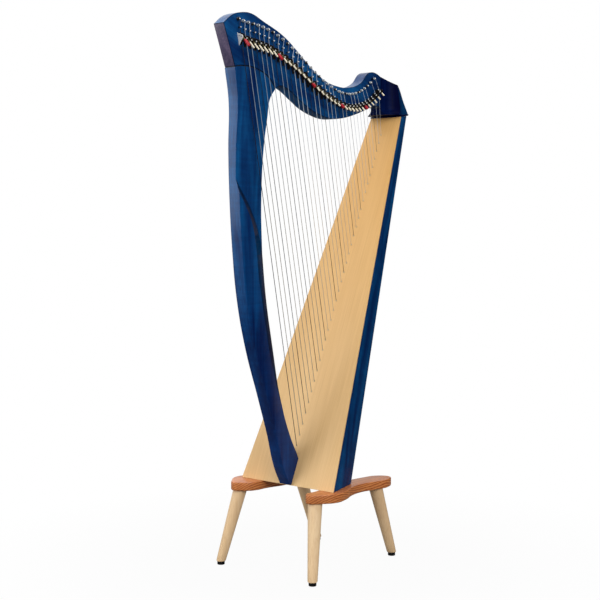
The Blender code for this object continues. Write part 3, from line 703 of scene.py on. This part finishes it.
# %% [markdown]
# The pillar is the same plank, and the carver hollowed its string side so that the long bass
# strings swing freely. The hollow starts at nothing under the neck and deepens downwards to a
# curved ridge, where a slanted wall climbs back to the full thickness. The cutter is a tall block
# whose left wall follows the ridge and leans like the carved wall.

# %% Pillar
rise = Vector((BOARD_TOP_X, BOX_TOP - BOX_BOTTOM)).normalized()
board_foot = Vector((-0.0004, BOX_BOTTOM))  # just in front of the soundboard
foot_back = board_foot + 0.0025 * rise
knee_back = board_foot + 0.079 * rise
PILLAR_OUTLINE = joint(-JOINT_HALF) + [
    (-0.0815, 1.2816), (-0.0907, 1.2288), (-0.1022, 1.1434), (-0.106, 1.0112), (-0.102, 0.8787),
    (-0.0938, 0.7477), (-0.07, 0.617), (-0.0433, 0.4728), (-0.009, 0.376),
    (knee_back.x, knee_back.y, False), (foot_back.x, foot_back.y, False), (-0.006, 0.231, False),
    (-0.032, 0.282), (-0.061, 0.377), (-0.096, 0.4765), (-0.1475, 0.621), (-0.1788, 0.75),
    (-0.1953, 0.88), (-0.205, 1.01), (-0.209, 1.14), (-0.2075, 1.269)]
# height, the ridge's x and the slope of the wall there
RIDGE = ((0.3, 0.03, 0.3), (0.35, 0.006, 0.3), (0.41, -0.02, 0.3), (0.51, -0.0615, 0.3),
         (0.62, -0.093, 0.3), (0.72, -0.114, 0.3), (0.8, -0.13, 0.32), (0.8791, -0.1398, 0.4),
         (0.924, -0.1471, 0.44), (0.9613, -0.1602, 0.48), (0.9869, -0.1759, 0.48),
         (1.0135, -0.1912, 0.48), (1.028, -0.2064, 0.48), (1.0588, -0.2254, 0.48),
         (1.1, -0.262, 0.48), (1.4, -0.29, 0.48))
HOLLOW_TOP, HOLLOW_SLOPE, HOLLOW_DEPTH = 1.352, 0.041, 0.0145
CUTTER_LOW, CUTTER_TALL, CUTTER_RIGHT = 0.3, 1.1, 0.1
CUTTER_OUT = -0.008  # the cutter's face in front of the pillar


def ridge_at(z):
    """The ridge's x and the wall's slope at a height, from a smooth run through the table."""
    heights = [r[0] for r in RIDGE]
    near = np.array([z - 0.014, z - 0.007, z, z + 0.007, z + 0.014])
    return [float(np.mean(np.interp(near, heights, [r[i] for r in RIDGE]))) for i in (1, 2)]


def hollow_depth(z):
    """How deep the hollow is at a height: it grows downwards and levels out softly."""
    line = HOLLOW_SLOPE * (HOLLOW_TOP - z)
    if abs(line - HOLLOW_DEPTH) > 0.006:
        return min(line, HOLLOW_DEPTH)
    return 0.5 * (line + HOLLOW_DEPTH) - 0.5 * math.hypot(line - HOLLOW_DEPTH, 0.0018)


tool = bmesh.new()
bmesh.ops.create_cube(tool, size=1.0)
tall = [e for e in tool.edges if abs(e.verts[0].co.z - e.verts[1].co.z) > 0.5]
bmesh.ops.subdivide_edges(tool, edges=tall, cuts=110)
for v in tool.verts:
    z = CUTTER_LOW + (v.co.z + 0.5) * CUTTER_TALL
    ridge, slope = ridge_at(z)
    deep = hollow_depth(z) if v.co.y > 0 else CUTTER_OUT
    v.co = Vector((ridge + deep / slope if v.co.x < 0 else CUTTER_RIGHT, NECK_FACE + deep, z))
bm = carved(plank(outline(PILLAR_OUTLINE), NECK_THICK), tool)
bmesh.ops.dissolve_limit(bm, angle_limit=math.radians(0.4), verts=bm.verts, edges=bm.edges)
bm.normal_update()
# the slanted wall faces take the darker copy of the blue: painted shade
for face in bm.faces:
    wall = 0.12 < face.normal.x < 0.8 and face.normal.y < -0.5
    face.material_index = 1 if wall else 0
soften(bm, corners(bm, 50.0), RIM, 3)
piece("pillar_body", bm, [blue_upright_dark_foot, shaded_blue_wall], ["pillar"], sharp=24.0)
# a dark strip inside the joint paints the shadow in its groove
bm = plank(outline(joint(JOINT_HALF - 0.0001) + joint(0.0001 - JOINT_HALF, backwards=True)),
           NECK_THICK - 0.0024)
piece("joint_shadow_line", bm, [joint_shadow])

# %% [markdown]
# The shoulder joins the thin neck to the broader soundbox. Both of its flanks are hollow coves,
# here cut with a round cutter that draws in at its foot, so that the cove flares out on the cap.
# The flat flank behind the cove catches more light, painted as a lighter copy of the blue.

# %% Shoulder and cap plate
CAP_THICK, CAP_OVERHANG, CAP_BACK_X = 0.0052, 0.0015, 0.516
FLARE = 0.0118  # how much the shoulder narrows in 0.1 m of height
COVE_RADIUS = 0.05
COVE_END_X = 0.4535
on_cap = inward(TOP, -CAP_THICK - 2 * GAP)


def cap_z(x):
    """The height of the cap's top at a place."""
    return (on_cap[1] - on_cap[0].x * x) / on_cap[0].z


def flare(side):
    """The shoulder's side, which leans inwards going up."""
    p, q = (meet(side, on_cap, at_x(x)) for x in (BOARD_TOP_X, CAP_BACK_X))
    return plane(p, q, p + Vector((0, -math.copysign(FLARE, p.y), 0.1)), (0.46, 0, 1.3))


SHOULDER_OUTLINE = [(NECK_END_X, 1.3805, False), (0.425, 1.3735), (0.4475, 1.3605), (0.465, 1.343),
                    (0.483, 1.315), (0.513, cap_z(0.513), False), (0.45, cap_z(0.45), False),
                    (0.411, cap_z(0.45), False), (NECK_END_X, 1.289, False)]
bm = plank(outline(SHOULDER_OUTLINE), 0.14)
sides = panel(at_x(0.39), at_x(0.56), flare(RIGHT), flare(LEFT), at_z(1.25), at_z(1.42))
bm = carved(bm, sides, "INTERSECT")
# distance from the cutter's axis, and height
COVE = ((0.0, 1.26), (0.039, 1.26), (0.0395, 1.2735), (0.044, 1.2765), (0.0475, 1.2815),
        (0.0494, 1.289), (COVE_RADIUS, 1.299), (COVE_RADIUS, 1.43), (0.0, 1.43))
for sign in (-1, 1):
    tool = bmesh.new()
    y = sign * (NECK_THICK / 2 + COVE_RADIUS)
    run = [tool.verts.new((NECK_END_X + r, y, z)) for r, z in COVE]
    edges = [tool.edges.new(pair) for pair in zip(run, run[1:])]
    bmesh.ops.spin(tool, geom=run + edges, cent=(NECK_END_X, y, 0), axis=AXIS_Z,
                   angle=2 * math.pi, steps=96, use_merge=True)
    bmesh.ops.remove_doubles(tool, verts=tool.verts, dist=WELD)
    bm = carved(bm, tool)
soften(bm, corners(bm, 50.0), 0.0012, 3)
bm.normal_update()
# the shoulder takes the very dark copy of the blue: painted shade
for face in bm.faces:
    behind_cove = face.calc_center_median().x > COVE_END_X
    # flat flank faces behind the cove take the lighter copy: painted light
    face.material_index = 1 if behind_cove and abs(face.normal.y) > 0.9 else 0
piece("shoulder_block", bm, [shaded_blue_shoulder, lit_blue_flank], ["shoulder"],
      sharp=30.0)

bm = panel(inward(FRONT, -CAP_OVERHANG), at_x(CAP_BACK_X), inward(RIGHT, -CAP_OVERHANG),
           inward(LEFT, -CAP_OVERHANG), inward(TOP, -GAP), inward(TOP, -GAP - CAP_THICK))
soften(bm, corners(bm), 0.0017, 3)
# the cap takes the shoulder's dark copy of the blue: painted shade
piece("cap_moulding", bm, [shaded_blue_shoulder], ["cap_plate"])


# %% [markdown]
# ## Where the strings run
# Thirty-four strings run from their tuning pins, round a bridge pin, to the soundboard. Each hole
# in the board, each pin and the lean of each string follow the same rules as in the drawing.

# %% String courses
STRINGS = 34
BOARD_LONG = math.hypot(BOARD_TOP_X, BOX_TOP - BOX_BOTTOM)
HOLE_FIRST, HOLE_STEP, HOLE_BEND = 0.0785666, 0.0326303, 0.0000980267
STRING_R_BASS, STRING_R_TREBLE = 0.0009, 0.0004
STRING_OFF_BASS, STRING_OFF_TREBLE = 0.008, 0.006  # string to neck's face
TUNING_PIN_R, BRIDGE_PIN_R = 0.0025, 0.0015
# string number, and its tuning pin's place; the row of pins is a smooth curve through them
PIN_KEYS = ((1, -0.2121, 1.4749), (6, -0.1183, 1.464), (11, -0.0195, 1.4321), (16, 0.0775, 1.3773),
            (20, 0.1506, 1.3387), (24, 0.2177, 1.3193), (28, 0.2784, 1.3229), (31, 0.32, 1.3399),
            (34, 0.359, 1.3708))
PIN_X = np.polyfit([p[0] for p in PIN_KEYS], [p[1] for p in PIN_KEYS], 5)
PIN_Z = np.polyfit([p[0] for p in PIN_KEYS], [p[2] for p in PIN_KEYS], 6)
# string number, how far its lever's pivot is below the bridge pin, and the lever's length
LEVER_KEYS = ((1, 0.023, 0.0325), (8, 0.0262, 0.031), (15, 0.0205, 0.0275), (22, 0.008, 0.0215),
              (29, 0.0055, 0.018), (34, 0.0055, 0.0175))
PIN_BEYOND, PIVOT_BEYOND = 0.0025, 0.0042
OUT = Vector((0.0, -1.0, 0.0))


class Course:
    """One string's way from its tuning pin to the soundboard."""

    def __init__(self, k):
        treble = (k - 1) / (STRINGS - 1)
        share = (HOLE_FIRST + HOLE_STEP * k - HOLE_BEND * k * k) / BOARD_LONG
        self.number = k
        self.radius = STRING_R_BASS - (STRING_R_BASS - STRING_R_TREBLE) * treble
        self.hole = Vector((share * BOARD_TOP_X, 0.0, BOX_BOTTOM + share * (BOX_TOP - BOX_BOTTOM)))
        lean = math.radians(12.8 + 0.09 * (k - 1) + 0.0195 * max(0, k - 16) ** 2)
        self.pin = Vector((float(np.polyval(PIN_X, k)), 0.0, float(np.polyval(PIN_Z, k))))
        bridge_z = self.pin.z - 0.0215 - 0.00026 * (k - 1)
        bridge_x = self.hole.x - math.tan(lean) * (bridge_z - self.hole.z)
        # the last two strings stand further out, where they pass the neck's thick end
        self.off = (STRING_OFF_BASS - (STRING_OFF_BASS - STRING_OFF_TREBLE) * treble
                    + 0.006 * (max(0, k - 32) / 2) ** 1.5)
        self.bridge = Vector((bridge_x, NECK_FACE - self.off, bridge_z))
        self.long = (self.bridge - self.hole).length
        self.up = Vector((-math.sin(lean), 0.0, math.cos(lean)))
        self.across = Vector((math.cos(lean), 0.0, math.sin(lean)))
        numbers, drops, lengths = zip(*LEVER_KEYS)
        drop = float(np.interp(k, numbers, drops))
        self.lever_long = float(np.interp(k, numbers, lengths))
        flat = Vector((bridge_x, 0.0, bridge_z)) - drop * self.up
        self.pivot = Vector((flat.x, self.bridge.y - PIVOT_BEYOND, flat.z))
        self.bracket_rise = min(0.01, drop - 0.002)
        self.bracket_drop = 0.023 if k <= 18 else 0.013
        # the bridge pin stands on the inside of the string's turn
        above = math.atan2(bridge_x - (self.pin.x + 0.0016), self.pin.z - bridge_z)
        inside = 1.0 if above < lean else -1.0
        shift = inside * (BRIDGE_PIN_R + self.radius + GAP)
        self.bridge_pin = Vector((bridge_x, 0.0, bridge_z)) + shift * self.across
        self.is_red = k % 7 == 1
        self.is_dark = k % 7 == 4


COURSES = [Course(k) for k in range(1, STRINGS + 1)]
print("longest", round(COURSES[0].long, 3), "shortest", round(COURSES[-1].long, 3))

# %% [markdown]
# A string is wound a few turns round its tuning pin, leaves it on the right, bends a little at the
# bridge pin and runs down to its hole. C strings are a dark red and F strings nearly black, so that
# a player finds the notes.

# %% Strings
def string_path(c):
    """The winding, the bend at the bridge pin, and the end in the soundboard."""
    coil = TUNING_PIN_R + c.radius
    turns, per_turn = 3.5, 10
    path = []
    for i in range(int(turns * per_turn) + 1):
        angle = 2 * math.pi * (turns - i / per_turn)
        step = (turns - i / per_turn) * c.radius * 2.1
        path.append(Vector((c.pin.x + coil * math.cos(angle), c.bridge.y + step,
                            c.pin.z + coil * math.sin(angle))))
    leave = path[-1]
    for share in (0.33, 0.66, 0.94):
        path.append(leave.lerp(c.bridge, share))
    path.append(c.bridge)
    for share in (0.03, 0.5, 0.999):
        path.append(c.bridge.lerp(c.hole, share))
    path.append(c.hole - 0.003 * FRONT[0])
    return path


FIRST_THIN = 11  # strings below this number are bass strings
for c in COURSES:
    bm = bmesh.new()
    tube(bm, string_path(c), c.radius, 8)
    made = nylon_bass if c.number < FIRST_THIN else nylon
    made = nylon_red if c.is_red else nylon_dark if c.is_dark else made
    piece(f"string_{c.number:02d}", bm, [made])
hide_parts("string_set")

# %% [markdown]
# Each hole in the soundboard is lined with a small bone grommet. The grommet's ring is spun from a
# rounded profile round the hole's own axis, which stands square to the board.

# %% Grommets
# distance from the hole's axis, and height above the board
GROMMET = ((0.0011, 0.0002), (0.0013, 0.0009), (0.0018, 0.0012), (0.0024, 0.0008), (0.0027, 0.0001),
           (0.0024, -0.0006), (0.0013, -0.0006))
stand = FRONT[0].to_track_quat("Z", "Y").to_matrix().to_4x4()
bm = bmesh.new()
for c in COURSES:
    place = Matrix.Translation(c.hole) @ stand
    run = [bm.verts.new(place @ Vector((r, 0.0, z))) for r, z in GROMMET]
    edges = [bm.edges.new(pair) for pair in zip(run, run[1:] + run[:1])]
    bmesh.ops.spin(bm, geom=run + edges, cent=c.hole, axis=FRONT[0], angle=2 * math.pi, steps=12,
                   use_merge=True)
piece("string_grommets", bm, [bone])
rib = panel(behind_board, inward(FRONT, 0.0123), at_y(-0.011), at_y(0.011), at_z(0.3), at_z(1.229))
soften(rib, corners(rib), 0.0012, 2)
piece("string_rib", rib, [maple_inside])

# %% [markdown]
# ## Pins
# A tuning pin runs right through the neck. On the string side its rounded end carries the
# winding; on the far side it ends in a square taper for the tuning key. A bridge pin is a short
# steel pin with a groove, and it sets where the sounding length begins. Both kinds are dark steel
# with a domed tip, which is painted near white: a painted highlight for the glint on the metal.

# %% Tuning and bridge pins
def beside_pin(c, y):
    """The point on a tuning pin's axis at some y."""
    return c.pin + Vector((0, y, 0))


pins, tips, bright = (bmesh.new() for _ in range(3))
far_face = -NECK_FACE
for c in COURSES:
    reach = NECK_FACE - c.off - PIN_BEYOND
    bar(pins, 0.0024, beside_pin(c, far_face - 0.004), beside_pin(c, reach + 0.001), 14)
    bar(bright, 0.0022, beside_pin(c, reach + 0.0012), beside_pin(c, reach), 14, round_end=0.0011)
    bar(tips, 0.003, beside_pin(c, far_face - 0.001), beside_pin(c, far_face + 0.0075), 14,
        round_end=0.0006)
    bar(tips, 0.003, beside_pin(c, far_face + 0.007), beside_pin(c, far_face + 0.0198), 4,
        0.0024, round_end=0.0004)
piece("tuning_pins", pins, [dark_steel])
piece("tuning_pin_squares", tips, [steel])
bm = bmesh.new()
for c in COURSES:
    inner = c.bridge_pin + Vector((0, NECK_FACE + 0.003, 0))
    reach = 0.003 + c.off + PIN_BEYOND
    bar(bm, BRIDGE_PIN_R, inner, inner + (reach - 0.0036) * OUT, 12)
    bar(bm, 0.0011, inner + (reach - 0.0038) * OUT, inner + (reach - 0.0015) * OUT, 12)
    bar(bright, 0.0017, inner + (reach - 0.0017) * OUT, inner + reach * OUT, 12, round_end=0.0009)
piece("bridge_pins", bm, [dark_steel])
# the domed tips are near white: painted glints
piece("pin_tips", bright, [glint_white])


# %% [markdown]
# ## Levers
# Under each bridge pin sits a bracket with two three-cornered cheeks, drawn dark so that it also
# paints the shadows between the levers. The left cheek of the first one, at the row's end, is
# white.
# Their long side lies on the neck and their rounded corner holds the pivot pin of the lever, which
# has a button on the left, painted near white for its glint. Flipping the handle up presses the
# lever's cam on the string and raises its note by a semitone. A cheek is a cube with its corners
# moved, of which only the outer edges are rounded.

# %% Brackets
def lever_frame(c):
    """Axes of one lever: towards the neck, up the string, and across along the pivot."""
    place = Matrix(((-OUT.x, c.up.x, c.across.x, 0), (-OUT.y, c.up.y, c.across.y, 0),
                    (-OUT.z, c.up.z, c.across.z, 0), (0, 0, 0, 1)))
    place.translation = c.pivot
    return place


def block(bm, near, far, half_near, half_far, low, high):
    """A block in a plane: two ends with their half widths, and its two faces."""
    verts = bmesh.ops.create_cube(bm, size=1.0)["verts"]
    for v in verts:
        at, half = (far, half_far) if v.co.x > 0 else (near, half_near)
        v.co = Vector((at, 2 * half * v.co.y, high if v.co.z > 0 else low))
    return verts


CHEEK_IN, CHEEK = 0.0033, 0.0014  # half the space between the cheeks, and their thickness
NOSE = 0.0056  # from the pivot to the cheek's rounded corner
end_cheek, brackets, screws, buttons = (bmesh.new() for _ in range(4))
for c in COURSES:
    place = lever_frame(c)
    wood = c.off + PIVOT_BEYOND + 0.0005
    half, middle_y = (c.bracket_rise + c.bracket_drop) / 2, (c.bracket_rise - c.bracket_drop) / 2
    left_cheek = end_cheek if c.number == 1 else brackets
    for bm, low, nose_half in ((left_cheek, -CHEEK_IN - CHEEK, 0.0025),
                               (brackets, CHEEK_IN, 0.004)):
        cheek = block(bm, -NOSE, wood, nose_half, half, low, low + CHEEK)
        for v in cheek:
            if v.co.x > 0:
                v.co.y += middle_y
        nose = {e for v in cheek if v.co.x < 0 for e in v.link_edges
                if all(w.co.x < 0 for w in e.verts)
                and abs(e.verts[0].co.z - e.verts[1].co.z) > 1e-4}
        made = soften(bm, nose, 0.0024, 4)["verts"]
        cheek = {v for v in cheek if v.is_valid} | set(made)
        bmesh.ops.transform(bm, verts=list(cheek), matrix=place)
    foot = block(brackets, wood - 0.0012, wood, half - 0.001, half - 0.001, -CHEEK_IN, CHEEK_IN)
    bmesh.ops.translate(brackets, vec=(0, middle_y, 0), verts=foot)
    bmesh.ops.transform(brackets, verts=foot, matrix=place)
    reach = (CHEEK_IN + CHEEK + 0.0004) * c.across
    bar(screws, 0.0012, c.pivot - reach, c.pivot + reach, 10, round_end=0.0003)
    if c.number == 1:
        seat = place @ Vector((0.0068, 0.0015, -CHEEK_IN - CHEEK))
        bar(screws, 0.0014, seat + 0.0003 * c.across, seat - 0.0004 * c.across, 12,
            round_end=0.0002)
    else:
        # a pivot button is near white: a painted glint
        middle = place @ Vector((-0.0026, 0.0008, -CHEEK_IN - CHEEK))
        bar(buttons, 0.0022, middle + 0.0003 * c.across, middle - 0.0012 * c.across, 14,
            round_end=0.0009)
piece("bracket_end_cheek", end_cheek, [white_cheek])
# the brackets are dark, which paints the shadows between the levers
piece("lever_brackets", brackets, [bracket_dark_shadow])
piece("lever_pivot_pins", screws, [dark_steel])
piece("pivot_buttons", buttons, [glint_white])

# %% [markdown]
# One lever is drawn round its pivot, in a plane: a dark hub, a thin brass arm and a plastic sleeve
# that is pushed over the arm's end. The sleeve of a C string's lever is red and a little fatter,
# so that a player finds it.

# %% Lever handles
REST = math.radians(-55.0)  # the open lever's handle points down
FLIP = Matrix.Diagonal((-1.0, 1.0, 1.0, 1.0))
HUB_R, ARM_PIN_R = 0.0033, 0.0013
for c in COURSES:
    bm = bmesh.new()
    long = c.lever_long
    fat = 1.25 if c.is_red else 0.72
    start = 0.52 if 8 < c.number < 22 else 0.36
    sleeve = block(bm, start * long, long - 0.0002, 0.0021 * fat, 0.0026 * fat, -0.0028 * fat,
                   0.0028 * fat)
    soften(bm, {e for v in sleeve for e in v.link_edges}, 0.0008, 3)
    plastic = set(bm.faces)
    block(bm, 0.001, (start + 0.04) * long, 0.0012, 0.0011, -0.0016, 0.0016)
    bar(bm, ARM_PIN_R, (0.0016, 0.0019, -0.0026), (0.0016, 0.0019, 0.0026), 12)
    brassy = set(bm.faces) - plastic
    bar(bm, HUB_R, (0, 0, -0.0029), (0, 0, 0.0029), 18, round_end=0.0004)
    for face in bm.faces:
        face.material_index = 0 if face in plastic else 1 if face in brassy else 2
    bmesh.ops.rotate(bm, verts=bm.verts, cent=(0, 0, 0), matrix=Matrix.Rotation(REST, 3, "Z"))
    bmesh.ops.transform(bm, verts=bm.verts, matrix=lever_frame(c) @ FLIP)
    piece(f"lever_handle_{c.number:02d}", bm, [red if c.is_red else cream, brass, dark_steel],
          [f"lever_{c.number:02d}"],
          body=f"lever_{c.number:02d}_body")


# %% [markdown]
# ## The stand
# Two wavy rails under the soundbox carry four turned legs on rubber feet. The rails are bolted up
# into the base board. Rail edges are well rounded by hand; a leg is a turned taper that is leaned
# over, so that its ends stay level.

# %% Rails
RAIL_OUTER = ((-0.07, -0.0301), (-0.048, -0.0051), (-0.006, 0.019), (0.04, 0.013), (0.098, -0.009),
              (0.15, -0.015), (0.198, -0.005), (0.25, -0.001), (0.283, -0.0221), (0.271, -0.0541),
              (0.21, -0.0721))
RAIL_INNER = {
    "right": ((0.14, -0.0751), (0.06, -0.0611), (-0.015, -0.05), (-0.058, -0.047)),
    "left": ((0.15, -0.088), (0.08, -0.093), (0.025, -0.082), (-0.04, -0.073),
             (-0.06, -0.05))}
RAIL_THICK = 0.024
BOLTS = ((0.028, 0.0209), (0.09, 0.0189))  # x, and how far in from the soundbox's side
SIDE_IN = 0.0357  # how much narrower the box is at its back
HANDS = (("right", -1), ("left", 1))
rail_top = BOX_BOTTOM - GAP
rail_bottom = rail_top - RAIL_THICK


def beside(sign, x, out):
    """A place on the ground, from x and the distance out from the soundboard's lower corner."""
    return x, sign * (BOARD_HALF_BOTTOM + out)


for hand, sign in HANDS:
    ring = outline([beside(sign, *p) for p in RAIL_OUTER + RAIL_INNER[hand]], 8)
    bm = thickened([(x, y, rail_bottom) for x, y in ring], (0, 0, RAIL_THICK))
    holes = bmesh.new()
    for x, inside in BOLTS:
        y = sign * (BOARD_HALF_BOTTOM - SIDE_IN * x / BACK_X_BOTTOM - inside)
        bar(holes, 0.0066, (x, y, rail_bottom - 0.01), (x, y, rail_bottom + 0.0055), 24)
        bar(holes, 0.0033, (x, y, rail_bottom + 0.005), (x, y, rail_top + 0.01), 16)
    bmesh.ops.recalc_face_normals(bm, faces=bm.faces)
    low = [e for e in corners(bm, 60.0) if max(v.co.z for v in e.verts) < rail_bottom + 1e-4]
    soften(bm, low, 0.004, 4)
    high = [e for e in corners(bm, 60.0) if min(v.co.z for v in e.verts) > rail_top - 1e-4]
    soften(bm, high, 0.0014, 3)
    bm = carved(bm, holes)
    piece(f"rail_{hand}", bm, [red_brown], [f"stand_rail_{hand}"])
    for n in (1, 2):
        nodes[f"stand_bolt_{hand}_{n}"].material_slots[0].material = steel

# %% Legs and feet
# where the leg's top and foot are: x, and how far out from the soundboard's lower corner
LEGS = (("front", (-0.04, -0.0301), (-0.0871, 0.0003)),
        ("back", (0.224, -0.0271), (0.3022, -0.0276)))
LEG_LOW, LEG_HIGH = 0.0038, 0.2033
LEG_PROFILE = ((0.0, LEG_LOW), (0.0117, LEG_LOW), (0.0129, 0.0046), (0.0134, 0.007),
               (0.0197, LEG_HIGH), (0.0, LEG_HIGH))
FLOOR, FOOT_TOP, FOOT_R = -0.006, 0.0035, 0.0105
for hand, sign in HANDS:
    for end, top, foot in LEGS:
        tx, ty = beside(sign, *top)
        fx, fy = beside(sign, *foot)
        bm = bmesh.new()
        run = [bm.verts.new((r, 0.0, z)) for r, z in LEG_PROFILE]
        edges = [bm.edges.new(pair) for pair in zip(run, run[1:])]
        bmesh.ops.subdivide_edges(bm, edges=[edges[3]], cuts=6)
        bmesh.ops.spin(bm, geom=bm.verts[:] + bm.edges[:], cent=(0, 0, 0), axis=AXIS_Z,
                       angle=2 * math.pi, steps=48, use_merge=True)
        for v in bm.verts:
            share = (v.co.z - LEG_LOW) / (rail_bottom - 0.0041)
            v.co.x += fx + (tx - fx) * share
            v.co.y += fy + (ty - fy) * share
        piece(f"turned_leg_{end}_{hand}", bm, [maple], [f"leg_{end}_{hand}"])
        bm = bmesh.new()
        bar(bm, FOOT_R, (fx, fy, FLOOR), (fx, fy, FOOT_TOP), 40)
        soften(bm, corners(bm), 0.0012, 3)
        piece(f"foot_{end}_{hand}", bm, [rubber], [f"rubber_foot_{end}_{hand}"])
